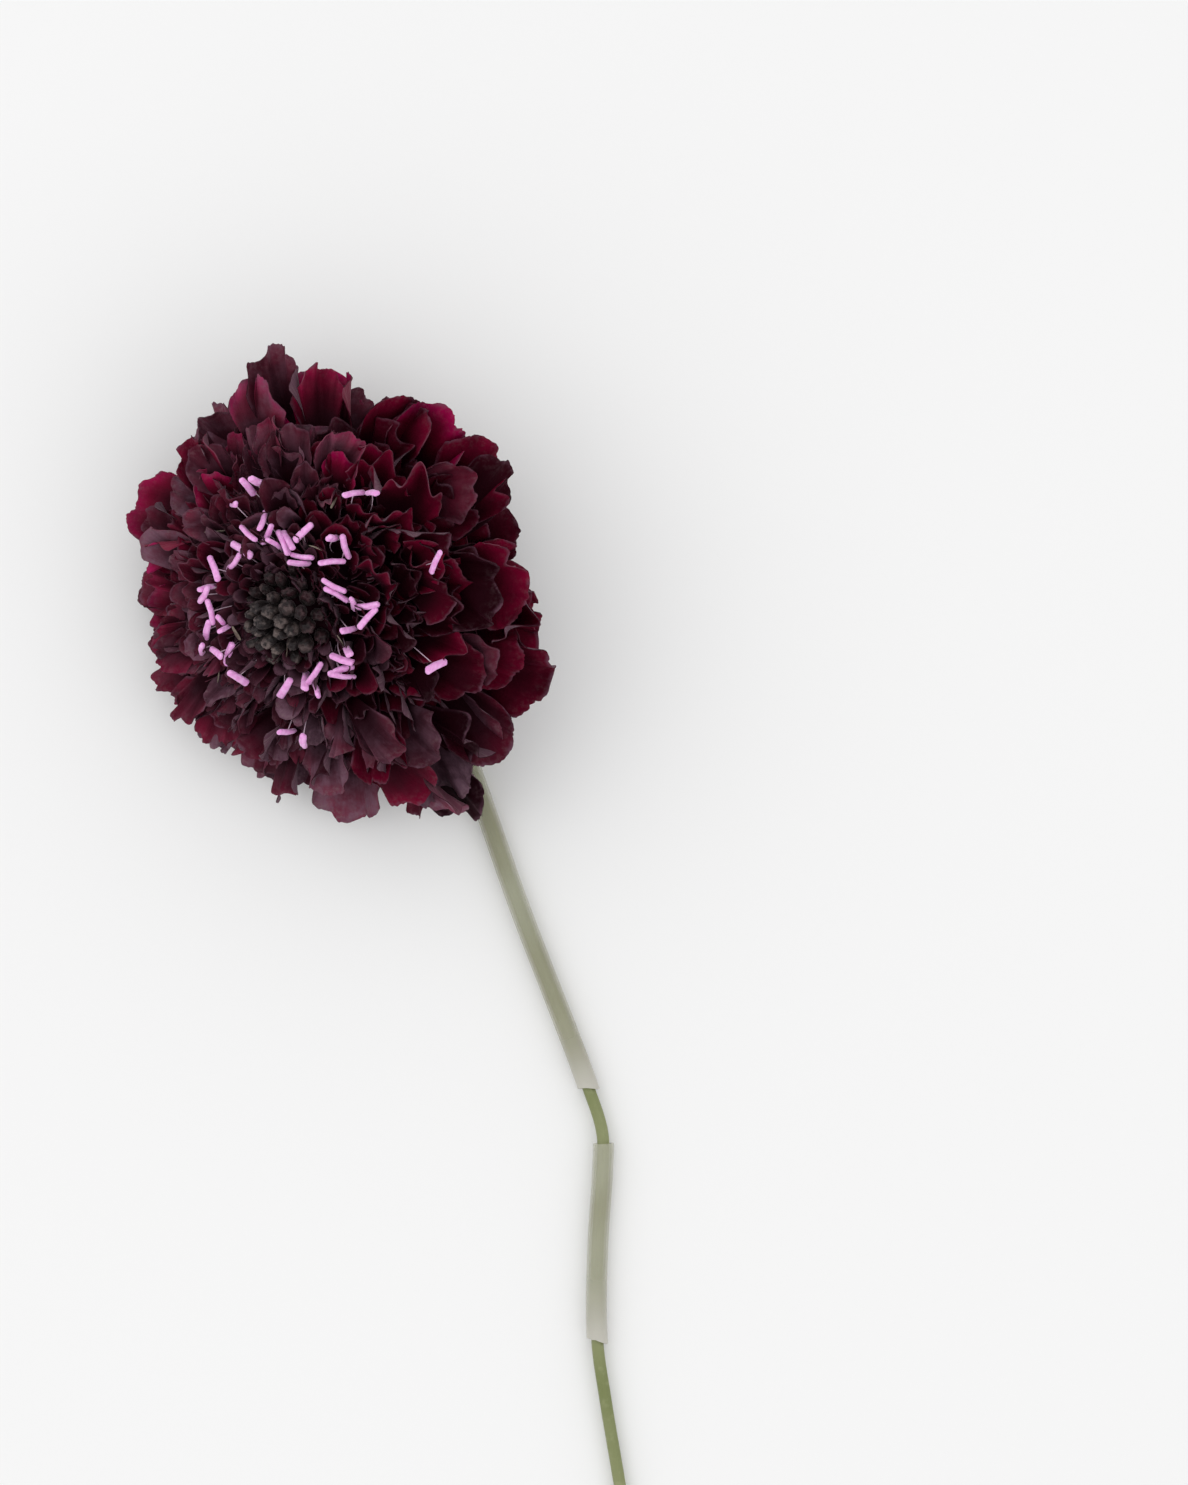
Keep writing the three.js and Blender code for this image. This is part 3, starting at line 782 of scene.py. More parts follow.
def lobe_traits(floret, lobe, number, side):
    """A smaller lobe of a floret: in front of its large one, and to one side of it."""
    piece = lobe["first"] + number
    upright = math.radians(lobe["angle"] + vary(piece, "angle", lobe["spread"]))
    narrowed = 1 - lobe["narrowing"] * towards(floret["turn"], TONGUE_SIDE)
    return dict(
        floret,
        piece=piece,
        turn=floret["turn"] + floret["step"] * (side * lobe["at"] + vary(piece, "turn", 0.16)),
        angle=floret["angle"] + upright,
        length=floret["length"] * (lobe["length"] + vary(piece, "length", 0.12)),
        width=floret["width"] * (lobe["width"] * narrowed + vary(piece, "width", 0.12)),
        swing=vary(piece, "swing", 0.35),
        roll=0.2 - side * 0.15 + vary(piece, "roll", 0.65),
        cups=both_cups(piece, 0.5, 0.1, 1.3),
        crease=rarely(piece, "crease", 0, 0.4),
        ruffle=rarely(piece, "ruffle", 0.7, 0.9),
        tip=tip_bend(piece, 8, 50, 115),
        phase=noise(piece, "phase") * 2 * math.pi,
        ragged=0.7,
        round=lobe["round"],
    )


for name, lobe in (("side", SIDE_LOBE), ("front", FRONT_LOBE)):
    print("its", name, "lobe is", round(lobe_traits(large, lobe, 200, 1)["length"], 1), "mm long")

# %% [markdown]
# ## The petals' tones
# The petals aren't equally dark. On one side of the head they are painted brighter, as painted light that
# comes through them. They are greyer on two others: where they turn their down to us, partly down and
# partly painted sheen, and where they stand up folded.

# %% The petals' tones
PAINTED_BACKLIGHT_SIDE = math.radians(140)
DOWN_AND_SHEEN_SIDE = math.radians(225)
CRIMSON_SIDE = math.radians(20)


def grow_petal(pattern, traits, tone):
    """A petal in its own tone and greyness, which follow its number and its side of the head."""
    piece, turn = traits["piece"], traits["turn"]
    # Painted light: brighter on the side where light comes through the petals.
    painted_backlight = 0.25 * math.cos(turn - PAINTED_BACKLIGHT_SIDE)
    crimson = (0.9 * noise(piece, "tone") + 0.15 + painted_backlight) * tone
    # Greyness: partly down and backs shown, partly painted sheen on the side that turns from us.
    grey = 0.25 * (1 + math.cos(turn - DOWN_AND_SHEEN_SIDE)) + noise(piece, "grey") ** 3
    grey += 0.55 * towards(turn, FOLDED_SIDE) ** 5
    # On the crimson side most of the greyness, with its painted sheen, is taken away.
    grey *= 1 - 0.7 * towards(turn, CRIMSON_SIDE)
    return grow(pattern, petal_points, traits, crimson, min(1.0, grey))


print("the greyest petals point to", round(math.degrees(DOWN_AND_SHEEN_SIDE)), "degrees")

# %% [markdown]
# ## Layers of ray florets
# Now the five whorls are grown, from the lowest up. Each is one piece, so that no piece gets too heavy.

# %% Ray florets
def ray_layer(w):
    # Inner whorls get a lower tone, darker: partly their own dark, partly painted shade deep in the head.
    tone = 1 - 0.08 * w
    petals = []
    for k in range(WHORLS[w]["count"]):
        floret = petal_traits(w, k)
        petals.append(grow_petal(FAN_PATTERN, floret, tone))
        for n, side in enumerate((-1, 1)):
            number = w * 100 + k * 2 + n
            beside = lobe_traits(floret, SIDE_LOBE, number, side)
            petals.append(grow_petal(FAN_PATTERN, beside, tone))
            if w > 0:
                front = lobe_traits(floret, FRONT_LOBE, number, side)
                petals.append(grow_petal(MIDDLE_PATTERN, front, tone * 0.9))
    petal_layer(petals, f"ray_florets_{w + 1}")


for w in range(len(WHORLS)):
    ray_layer(w)

# %% [markdown]
# ## Spirals of smaller florets
# The florets between the large fans and the middle follow a spiral by the golden angle, as all florets
# in such a head do. They get smaller, rounder and more crowded towards the middle. So a table gives
# each trait of such a spiral as three numbers: what it is in the middle, how much it changes on the way
# out, and how far chance may move it.

# %% Traits along a spiral
GOLDEN_ANGLE = math.pi * (3 - math.sqrt(5))


def spiral_traits(kind, n, narrowed=1, powers=(1, 1)):
    """The traits of floret n of a spiral. Its length and width may change by powers of the way out."""
    piece = kind["first"] + n
    share = (n + 0.5) / kind["count"]
    power = dict(zip(("length", "width"), powers))

    def usual(trait):
        start, change, spread = kind[trait]
        return start + change * share ** power.get(trait, 1)

    def chance(trait):
        return vary(piece, trait, kind[trait][2])

    return dict(
        piece=piece,
        share=share,
        root=usual("root") + chance("root"),
        rise=usual("rise") + chance("rise"),
        angle=math.radians(usual("angle") + chance("angle")),
        curl=math.radians(usual("curl") + chance("curl")),
        length=usual("length") * (1 + chance("length")),
        width=usual("width") * (narrowed + chance("width")),
        turn=n * GOLDEN_ANGLE + chance("turn"),
        swing=chance("swing"),
        roll=usual("roll") + chance("roll"),
        ruffle=usual("ruffle"),
        phase=noise(piece, "phase") * 2 * math.pi,
        ragged=kind["ragged"],
        round=kind["round"],
    )


def grow_spiral(kind, pattern, traits_of):
    """All the florets of a spiral. Their tone runs from a first one, in the middle, by a change."""
    # The tone is lowest in the middle: partly the florets' own dark, partly painted shade deep in the head.
    first, change = kind["tones"]
    count = kind["count"]
    return [grow_petal(pattern, traits_of(n), first + change * n / count) for n in range(count)]


print("each floret turns on by", round(math.degrees(GOLDEN_ANGLE), 1), "degrees")

# %% [markdown]
# ## Crowded florets between
# Next to the large fans, the florets stand close and end at every height, so that hardly any length of
# one is seen behind the next.

# %% Crowded florets
CROWDED = dict(
    first=7000, count=130, tones=(0.38, 0.34), ragged=0.4, round=0.48, root=(10.0, 0, 0),
    rise=(13.6, -7, 0.6), angle=(48, 26, 13), curl=(12, 0, 14), length=(9.2, 9.2, 0.18),
    width=(4.8, 4.8, 0.2), turn=(0, 0, 0.1), swing=(0, 0, 0.25), roll=(0.2, 0, 0.75), ruffle=(0.4, 0.3, 0),
)


def crowded_traits(n):
    traits = spiral_traits(CROWDED, n, 1 - 0.4 * towards(n * GOLDEN_ANGLE, TONGUE_SIDE))
    piece = traits["piece"]
    return dict(
        traits,
        cups=both_cups(piece, 0.6, 0.1, 1.2),
        crease=rarely(piece, "crease", 0, 0.3),
        tip=tip_bend(piece, 5, 60, 90),
    )


petal_layer(grow_spiral(CROWDED, MIDDLE_PATTERN, crowded_traits), "crowded_florets")

# %% [markdown]
# ## Small florets towards the middle
# Round the buds, each floret is a small spoon. On the side the head leans to, more of them stay narrow,
# and reach out like tongues. All are grown from a lighter pattern, because many of them are needed.

# %% Small florets
SPOONS = dict(
    first=5000, count=250, tones=(0.08, 0.34), ragged=0.0, round=0.55, root=(6.4, 3.8, 0.5),
    rise=(17.1, -4.5, 0.6), angle=(6, 48, 17), curl=(30, 0, 35), length=(3.3, 7.2, 0.2),
    width=(2.4, 3.6, 0.3), turn=(0, 0, 0.15), swing=(0, 0, 0.2), roll=(0, 0, 0.9), ruffle=(0.15, 0, 0),
)
TONGUES = dict(
    first=5600, count=150, tones=(0.3, 0.4), ragged=0.3, round=0.4, root=(9.6, 1, 0),
    rise=(14.4, -6.5, 0.8), angle=(42, 25, 13), curl=(14, 0, 25), length=(6.8, 9.2, 0.16),
    width=(3.3, 1.9, 0.3), turn=(0, 0, 0), swing=(0, 0, 0.3), roll=(0, 0, 0.9), ruffle=(0.2, 0, 0),
)
SPOON_POWERS = (1.2, 1.3)
EMPTY_SIDE = math.radians(65)
TONGUE_SPREAD = math.radians(230)
GOLDEN_SHARE = 0.618


def spooned(traits, tip_spread):
    """Traits with the even hollow and the bent tip of a spoon."""
    piece = traits["piece"]
    return dict(
        traits,
        cups=tuple(0.6 + vary(piece, side + "_fold", 0.8) for side in ("left", "right")),
        crease=0.1,
        tip=math.radians(25 + vary(piece, "tip_in", tip_spread)),
    )


def spoon_traits(n):
    """Spoon n. The spoons stand closer on the side that the buds leave free."""
    traits = spooned(spiral_traits(SPOONS, n, powers=SPOON_POWERS), 35)
    traits["root"] -= (1 - traits["share"]) * (3.4 * towards(n * GOLDEN_ANGLE, EMPTY_SIDE))
    return traits


def tongue_traits(n):
    """Tongue n. The tongues keep to one side of the head."""
    traits = spooned(spiral_traits(TONGUES, n), 45)
    traits["turn"] = TONGUE_SIDE + TONGUE_SPREAD * (n * GOLDEN_SHARE % 1 - 0.5)
    return traits


spoons = grow_spiral(SPOONS, SPOON_PATTERN, spoon_traits)
tongues = grow_spiral(TONGUES, SPOON_PATTERN, tongue_traits)
petal_layer(spoons + tongues, "small_florets")

# %% [markdown]
# ## The core
# Under the petals is a crowd of floret tubes. Nothing of it is seen but darkness between the petals, so
# a plain turned solid is enough: a disc that is extruded up and resized, ring by ring. Its near-black
# colour is partly the tubes' own dark and partly painted shade between the petals.

# %% Turning a solid
def placed(mesh, matrix, name):
    """A copy of a mesh, moved by a matrix given in the head's frame in millimetres."""
    copy = mesh.copy()
    copy.transform(matrix)
    points = np.empty(len(copy.vertices) * 3)
    copy.vertices.foreach_get("co", points)
    copy.vertices.foreach_set("co", (onto_table(points.reshape(-1, 3)) * MM).ravel())
    return linked(name, copy)


def turned(name, profile, sides, middle=(0, 0)):
    """A solid of revolution on the head: a disc, drawn up and resized ring by ring."""
    deselect()
    radius, rise = profile[0]
    bpy.ops.mesh.primitive_circle_add(vertices=sides, radius=radius, fill_type="NGON")
    solid = bpy.context.object
    bpy.ops.object.mode_set(mode="EDIT")
    bpy.ops.transform.translate(value=(*middle, rise))
    for next_radius, next_rise in profile[1:]:
        bpy.ops.mesh.extrude_region_move(TRANSFORM_OT_translate={"value": (0, 0, next_rise - rise)})
        share = next_radius / radius
        bpy.ops.transform.resize(value=(share, share, 1), center_override=(*middle, next_rise))
        radius, rise = next_radius, next_rise
    bpy.ops.mesh.select_all(action="SELECT")
    bpy.ops.mesh.normals_make_consistent(inside=False)
    bpy.ops.object.mode_set(mode="OBJECT")
    whole = placed(solid.data, Matrix.Identity(4), name)
    bpy.data.objects.remove(solid)
    return whole


# %% The core
CORE_PROFILE = [(4.6, 0.3), (9.6, 3), (11.6, 9), (10.2, 14.6), (6.6, 18.2)]

# Partly the tubes' own dark, partly painted shade: near black, for the core and the bud dome.
dark_tubes_and_shade = Finish("floret tubes", Roughness=0.9, Specular_IOR_Level=0.05)
dark_tubes_and_shade.colour(dark_tubes_and_shade.pattern(900), rgb(0.004, 0.001, 0.002), rgb(0.02, 0.004, 0.008))
core = turned("floret_core", CORE_PROFILE, 32)
dress(core, dark_tubes_and_shade.material)
hand_over(core, "florets")

# %% [markdown]
# ## The places of the anthers
# Each stamen is a pale thread with a plump lilac anther hinged across its tip. The anthers lie every way,
# many of them in crossed pairs, in a loose ring round the buds. Such disorder looks wrong when it comes
# from a rule, so each has its own place, way and seen length here, from above.

# %% The places of the anthers
ANTHERS = [
    (-3.7, 12.4, 75, 3.2), (-5.7, 10.6, 137, 3.4), (-3.0, 10.3, 62, 3.3), (-1.9, 9.0, 146, 2.7),
    (-0.8, 9.1, 114, 4.2), (-0.1, 9.5, 120, 3.4), (2.4, 10.6, 42, 3.8), (-7.0, 8.2, 147, 3.9),
    (-8.2, 6.3, 48, 3.0), (-11.2, 5.5, 111, 4.2), (-12.4, 2.7, 15, 3.0), (-12.5, 1.7, 54, 2.5),
    (-11.8, -0.9, 102, 3.9), (-12.9, -3.8, 73, 2.8), (-10.3, -2.7, 137, 2.5), (-9.6, -3.3, 27, 2.4),
    (-10.7, -6.9, 144, 2.3), (-9.6, -7.3, 70, 3.5), (-7.7, -10.6, 148, 3.3), (-0.8, -12.5, 56, 3.4),
    (2.3, -11.4, 87, 2.8), (4.0, -10.2, 55, 4.0), (3.9, -12.6, 113, 2.4), (8.4, -8.1, 161, 3.9),
    (9.0, -7.0, 122, 1.7), (7.7, -9.7, 19, 4.2), (8.3, -10.7, 175, 3.6), (9.5, -3.7, 13, 2.8),
    (12.1, -2.0, 47, 4.2), (12.0, -0.4, 7, 3.6), (9.9, 0.1, 100, 1.6), (7.2, 2.7, 153, 4.2),
    (7.3, 1.5, 151, 4.2), (8.5, 8.3, 105, 3.6), (7.0, 9.6, 12, 1.4), (7.0, 6.4, 5, 4.1),
    (2.0, 6.9, 171, 3.6), (2.0, 6.1, 178, 3.3), (10.2, 16.2, 12, 3.2), (13.0, 16.3, 170, 1.7),
    (22.0, 5.9, 65, 3.7), (-6.0, 17.5, 129, 2.9), (-4.2, 18.1, 160, 2.1), (-7.9, 14.9, 170, 1.0),
    (21.8, -9.3, 28, 3.3), (-0.4, -18.9, 5, 2.4), (2.1, -20.2, 85, 1.6), (-13.8, -6.5, 80, 1.2),
]
print(len(ANTHERS), "stamens")


def under(x, y):
    """Where a place seen from above lies in the plane across the head."""
    return np.linalg.solve(np.array([head_x.xy, head_y.xy]).T, (x, y))


def seen_way(way):
    """The direction of a compass way, in degrees, seen from above."""
    return math.cos(math.radians(way)), math.sin(math.radians(way))


def laid_along(direction):
    """The turn that lays Z along a direction above the table, for a piece in the head's frame."""
    lie = Vector(head_turn @ np.array(direction))
    return Vector((0, 0, 1)).rotation_difference(lie).to_matrix().to_4x4()


# %% [markdown]
# ## One anther
# An anther is two sacs with a groove between them. A sphere is drawn out to a rod with round ends, and a
# formula pinches the groove. It is modelled once, along Z, and every stamen gets a copy.

# %% One anther
ANTHER_RADIUS = 0.56
ANTHER_LENGTH = 4.3
GROOVE_DEPTH = 0.22
GROOVE_WIDTH = 0.35


def lilac():
    finish = Finish(
        "anther", Roughness=0.6, Sheen_Weight=0.2,
        Subsurface_Weight=0.15, Subsurface_Scale=0.001, Subsurface_Radius=(1.0, 0.4, 0.8),
    )
    finish.colour(finish.pattern(1500).between(0.2, 0.8), rgb(0.72, 0.26, 0.62), rgb(0.88, 0.46, 0.82))
    finish.bump(finish.pattern(4000, 1.0), 0.00003)
    return finish.material


def anther_model():
    deselect()
    bpy.ops.mesh.primitive_uv_sphere_add(segments=14, ring_count=12, radius=ANTHER_RADIUS)
    anther = bpy.context.object
    straight = ANTHER_LENGTH / 2 - ANTHER_RADIUS * 0.8
    for corner in anther.data.vertices:
        around = math.atan2(corner.co.y, corner.co.x)
        off_groove = (abs(around) - math.pi / 2) / GROOVE_WIDTH
        groove = GROOVE_DEPTH * math.exp(-(off_groove**2))
        end = corner.co.z / ANTHER_RADIUS
        along = math.copysign(min(1.0, 4 * abs(end)), end) if abs(end) > 0.01 else 0.0
        corner.co.x *= (1 - groove) * (1.06 - 0.1 * along)
        corner.co.y *= (1 - groove) * 0.88
        corner.co.z = 0.8 * corner.co.z + straight * along
        corner.co.y += 0.16 * along * along
    return anther


anther = anther_model()
print("an anther has", len(anther.data.polygons), "faces")

# %% [markdown]
# ## A tube through points
# The threads, the stem and the straws are all tubes along a line. A curve with a round bevel makes one,
# or a curve with an outline of its own where the tube isn't round.

# %% Tubes
def tube_through(points, radius, name, resolution=2, closed=True, outline=None):
    """A tube through points, in millimetres, as a mesh in metres."""
    curve = bpy.data.curves.new(name, "CURVE")
    curve.dimensions = "3D"
    curve.bevel_depth = radius * MM
    curve.bevel_resolution = resolution
    curve.use_fill_caps = closed
    if outline:
        bpy.context.collection.objects.link(outline)
        curve.bevel_mode = "OBJECT"
        curve.bevel_object = outline
    spline = curve.splines.new("POLY")
    spline.points.add(len(points) - 1)
    for point, place in zip(spline.points, points):
        point.co = (*(place * MM), 1)
    choose(linked(name, curve))
    bpy.ops.object.convert(target="MESH")
    if outline:
        bpy.data.objects.remove(outline)
    return bpy.context.object


# %% [markdown]
# ## The stamens
# A short anther is one that is seen nearly end on, so its tilt follows from its length. Its thread rises
# from among the florets nearer the middle, in a slight bow. The few that strayed out of the ring lie
# lower, as the head is lower there.

# %% The stamens
RING_RADIUS = 13
RING_RISE = 20.5
RING_FALL = 0.04
ROOT_RISE = 16.5
ROOT_FALL = 0.3
ROOT_SHARE = 0.66
FILAMENT_RADIUS = 0.08


def thread():
    finish = Finish("filament", Roughness=0.45)
    finish.colour(finish.pattern(600), rgb(0.4, 0.24, 0.36), rgb(0.7, 0.55, 0.62))
    return finish.material


def stamen_ends(k, x, y):
    """A stamen's root and tip on the head."""
    a, b = under(x, y)
    strayed = max(0.0, math.hypot(a, b) - RING_RADIUS)
    tip = np.array([a, b, RING_RISE + vary(k, "anther_rise", 0.7) - RING_FALL * strayed])
    share = ROOT_SHARE + vary(k, "root_share", 0.1)
    return np.array([a * share, b * share, ROOT_RISE - ROOT_FALL * strayed]), tip


def anther_turn(k, way, length):
    ahead = Vector((*seen_way(way), 0))
    tilt = math.copysign(math.acos(min(1.0, length / ANTHER_LENGTH)), vary(k, "anther_tilt", 1))
    spin = Matrix.Rotation(vary(k, "anther_spin", math.pi), 4, "Z")
    return laid_along(ahead * math.cos(tilt) + Vector((0, 0, math.sin(tilt)))) @ spin


anthers = []
filaments = []
for k, (x, y, way, length) in enumerate(ANTHERS):
    root, tip = stamen_ends(k, x, y)
    stout = 0.95 + vary(k, "stoutness", 0.15)
    size = Matrix.Diagonal((stout, stout, 1, 1))
    place = Matrix.Translation(Vector(tip)) @ anther_turn(k, way, length) @ size
    anthers.append(placed(anther.data, place, "anther"))
    bow = np.array([vary(k, "bow_x", 0.7), vary(k, "bow_y", 0.7), 0.4])
    bowed = [root + (tip - root) * s + bow * math.sin(s * math.pi) for s in np.linspace(0, 1, 7)]
    filaments.append(tube_through(onto_table(np.array(bowed)), FILAMENT_RADIUS, "filament", 1))
bpy.data.objects.remove(anther)

anthers = joined(anthers, "anthers")
dress(anthers, lilac())
anthers.data.shade_smooth()
filaments = joined(filaments, "filaments")
dress(filaments, thread())
for piece in (anthers, filaments):
    hand_over(piece, "florets")

# %% [markdown]
# ## One bud
# The youngest florets, in the middle, are still shut. Each is a downy knob of five rounded lobes that
# meet at a dimple. Five spheres could be joined for it, but one sphere with a formula on its longitude
# is lighter and has no seams.

# %% One bud
BUD_RADIUS = 1.5
BUD_LOBES = 5


def downy_bud():
    finish = Finish(
        "bud", Roughness=0.5, Specular_IOR_Level=0.3,
        Sheen_Weight=0.1, Sheen_Roughness=0.4, Sheen_Tint=rgb(0.75, 0.65, 0.65),
    )
    mottle = finish.pattern(900, 3.0)
    grey = finish.mix(mottle.between(0.44, 0.66), rgb(0.011, 0.006, 0.007), rgb(0.125, 0.093, 0.087))
    red = finish.mix(mottle.between(0.35, 0.7), rgb(0.006, 0.001, 0.002), rgb(0.03, 0.006, 0.01))
    knob = finish.mix(finish.trait("outer"), grey, red)
    # Painted shade and highlight: each bud is near black low down, between its neighbours, and pale grey
    # only in patches towards its tip, partly its down and partly painted highlight.
    finish.colour(finish.trait("tip"), rgb(0.003, 0.001, 0.001), knob)
    finish.bump(finish.pattern(1500, 3.0), 0.0004)
    return finish.material


def bud_model():
    """One bud about the origin, its tip along Z, with how near the tip each point is."""
    deselect()
    bpy.ops.mesh.primitive_uv_sphere_add(segments=20, ring_count=12, radius=BUD_RADIUS)
    bud = bpy.context.object
    for corner in bud.data.vertices:
        x, y, z = corner.co
        upper = max(0.0, z / BUD_RADIUS)
        lobe = abs(math.cos(BUD_LOBES / 2 * math.atan2(y, x)))
        swell = 0.86 + 0.5 * upper * (lobe - 0.55)
        corner.co.x *= swell
        corner.co.y *= swell
        middle = max(0.0, 1 - math.hypot(x, y) / (0.5 * BUD_RADIUS))
        corner.co.z = z * 1.45 - (0.4 * middle * BUD_RADIUS if z > 0 else 0)
    store(bud.data, "tip", [min(1.0, max(0.0, c.co.z / BUD_RADIUS * 0.9)) for c in bud.data.vertices])
    return bud


bud = bud_model()
print("a bud has", len(bud.data.polygons), "faces")

# %% [markdown]
# ## The cushion of buds
# The buds crowd over a low dome, set by the golden angle too. They lean outwards and get smaller and
# redder away from the middle, and more so on the shaded side. The dark red is partly their own, and on the
# shaded side painted shade. A dark turned dome closes the gaps, painted near black as shade between them.

# %% The cushion of buds
BUD_COUNT = 38
DOME_RADIUS = 5.8
DOME_HEIGHT = 3.4
DOME_BASE = 17.9
SHADED_SIDE = math.radians(50)
CUSHION_MIDDLE = (-1.0, -2.1)


def bud_place(k, share, turn):
    """Where bud k sits on the dome, how it leans and turns, and its size, as one matrix."""
    radius = share * (DOME_RADIUS + 1.2) + vary(k, "bud_out", 0.4)
    rise = DOME_BASE + DOME_HEIGHT * (1 - 1.1 * share * share) + vary(k, "bud_rise", 0.6)
    aside = Vector((-math.sin(turn), math.cos(turn), 0))
    lean = Matrix.Rotation(share * 0.8 + vary(k, "bud_lean", 0.4), 4, aside)
    spin = Matrix.Rotation(vary(k, "bud_spin", 0.8), 4, "Z")
    small = 1.05 - 0.25 * share
    thick = (0.95 + vary(k, "bud_width", 0.2), 0.85 + vary(k, "bud_depth", 0.2))
    size = Matrix.Diagonal((thick[0] * small, thick[1] * small, 1.1 * small, 1))
    x, y = CUSHION_MIDDLE
    seat = Matrix.Translation((x + radius * math.cos(turn), y + radius * math.sin(turn), rise))
    return seat @ lean @ spin @ size


buds = []
for k in range(BUD_COUNT):
    share = math.sqrt((k + 0.5) / BUD_COUNT)
    turn = k * GOLDEN_ANGLE
    buds.append(placed(bud.data, bud_place(k, share, turn), "bud"))
    # Painted shade: buds on the shaded side are darkened too, as well as the redder outer ones.
    far = share - 0.5 + 0.35 * math.cos(turn - SHADED_SIDE)
    store(buds[-1].data, "outer", [min(1.0, max(0.0, far / 0.3))] * len(bud.data.vertices))
bpy.data.objects.remove(bud)
cushion = joined(buds, "bud_cushion")
dress(cushion, downy_bud())
cushion.data.shade_smooth()

dome_profile = [
    (DOME_RADIUS - 0.2, DOME_BASE - 0.2),
    (DOME_RADIUS - 1.2, DOME_BASE + DOME_HEIGHT * 0.2),
    (DOME_RADIUS * 0.6, DOME_BASE + DOME_HEIGHT * 0.5),
    (DOME_RADIUS * 0.2, DOME_BASE + DOME_HEIGHT * 0.7),
]
dome = turned("bud_dome", dome_profile, 24, CUSHION_MIDDLE)
dress(dome, dark_tubes_and_shade.material)
for piece in (cushion, dome):
    hand_over(piece, "buds")

# %% [markdown]
# ## Chaff
# Here and there a dry scale stands between the buds and the spoons: the rim of a calyx, pale and curled.
# There are only a few, so each has its own place, way and size, seen from above. Each is a small ball,
# flattened, tapered and bent.

# %% One scale
def dry_scale():
    finish = Finish("chaff", Roughness=0.7, Specular_IOR_Level=0.2)
    finish.colour(finish.pattern(500).between(0.35, 0.65), rgb(0.09, 0.06, 0.05), rgb(0.3, 0.25, 0.2))
    finish.bump(finish.pattern(2500), 0.0001)
    return finish.material


def scale_model():
    """One scale about the origin, one unit long and wide, bent up towards its tip."""
    deselect()
    bpy.ops.mesh.primitive_uv_sphere_add(segments=10, ring_count=8, radius=0.5)
    scale = bpy.context.object
    bpy.ops.object.mode_set(mode="EDIT")
    bpy.ops.transform.resize(value=(0.25, 1, 1), center_override=(0, 0, 0))
    bpy.ops.object.mode_set(mode="OBJECT")
    for corner in scale.data.vertices:
        corner.co.y *= 0.8 - 0.9 * corner.co.z
        corner.co.x += 0.8 * corner.co.z**2
    return scale


scale = scale_model()
print("a scale has", len(scale.data.polygons), "faces")

# %% The chaff
CHAFF = [
    (-8.4, -4.0, 118, 3.2, 0.75), (-0.2, -6.9, 84, 2.8, 0.7), (7.9, -5.6, 120, 2.6, 0.6),
    (9.2, -9.4, 60, 2.2, 0.8), (-12.0, -11.0, 80, 3.4, 0.8), (4.2, 8.3, 160, 2.4, 0.6),
    (-11.5, 10.6, 6, 4.2, 0.9), (-15.2, 12.4, 140, 3.6, 0.6), (6.2, 14.6, 60, 2.2, 0.5),
]
CHAFF_RISE = 20.6
CHAFF_FALL = 0.25
CHAFF_RADIUS = 8
CHAFF_LIFT = 0.25

chaff = []
for k, (x, y, way, length, width) in enumerate(CHAFF):
    a, b = under(x, y)
    rise = CHAFF_RISE - CHAFF_FALL * max(0.0, math.hypot(a, b) - CHAFF_RADIUS)
    turn = laid_along(Vector((*seen_way(way), CHAFF_LIFT)).normalized())
    spin = Matrix.Rotation(vary(k, "scale_spin", math.pi), 4, "Z")
    place = Matrix.Translation((a, b, rise)) @ turn @ spin @ Matrix.Diagonal((width, width, length, 1))
    chaff.append(placed(scale.data, place, "scale"))
bpy.data.objects.remove(scale)
chaff = joined(chaff, "chaff")
dress(chaff, dry_scale())
chaff.data.shade_smooth()
hand_over(chaff, "buds")

# %% [markdown]
# ## The stem
# A fresh scabiosa stem is grey-green, with a soft gloss, and ribbed along its length. The ribs show in
# its outline, so they are modelled: the tube's cross-section is a circle with shallow ribs. Slow changes
# of green and a fine bloom are left to the finish.

# %% The stem
RIBS = 9
RIB_DEPTH = 0.07
RIB_CORNERS = 6


def stem_finish():
    finish = Finish("stem", Roughness=0.5, Specular_IOR_Level=0.35)
    slow = finish.pattern(45)
    fine = finish.pattern(900)
    green = finish.mix(slow.between(0.35, 0.65), rgb(0.15, 0.178, 0.055), rgb(0.235, 0.255, 0.12))
    finish.colour(fine.between(0.5, 0.8) * 0.35, green, rgb(0.34, 0.36, 0.2))
    finish.bump(fine, 0.0001)
    return finish.material


def ribbed_outline(radius):
    """The stem's cross-section as a closed flat curve."""
    curve = bpy.data.curves.new("stem outline", "CURVE")
    corners = curve.splines.new("POLY")
    corners.points.add(RIBS * RIB_CORNERS - 1)
    for i, point in enumerate(corners.points):
        around = 2 * math.pi * i / (RIBS * RIB_CORNERS)
        out = (radius - RIB_DEPTH * abs(math.sin(around * RIBS / 2))) * MM
        point.co = (out * math.cos(around), out * math.sin(around), 0, 1)
    corners.use_cyclic_u = True
    return bpy.data.objects.new("stem outline", curve)


stem = tube_through(stem_line, STEM_RADIUS, "stem_tube", outline=ribbed_outline(STEM_RADIUS))
dress(stem, stem_finish())
stem.data.shade_smooth()
hand_over(stem, "stem")

# %% [markdown]
# ## The straws
# Growers slip weak-necked flowers into clear straws. The plastic is milky: we see the stem through it,
# softened, and its own edges look paler because we look through more of it there. A tube with a real
# bore does that by itself. The far end is snipped at a slant, and the straw is whiter and less clear
# towards it.

# %% The straws' cut and finish
SLANT = (-0.35, 0, 0.1)
CUT_BACK = 0.5
PALE_END = 6.5


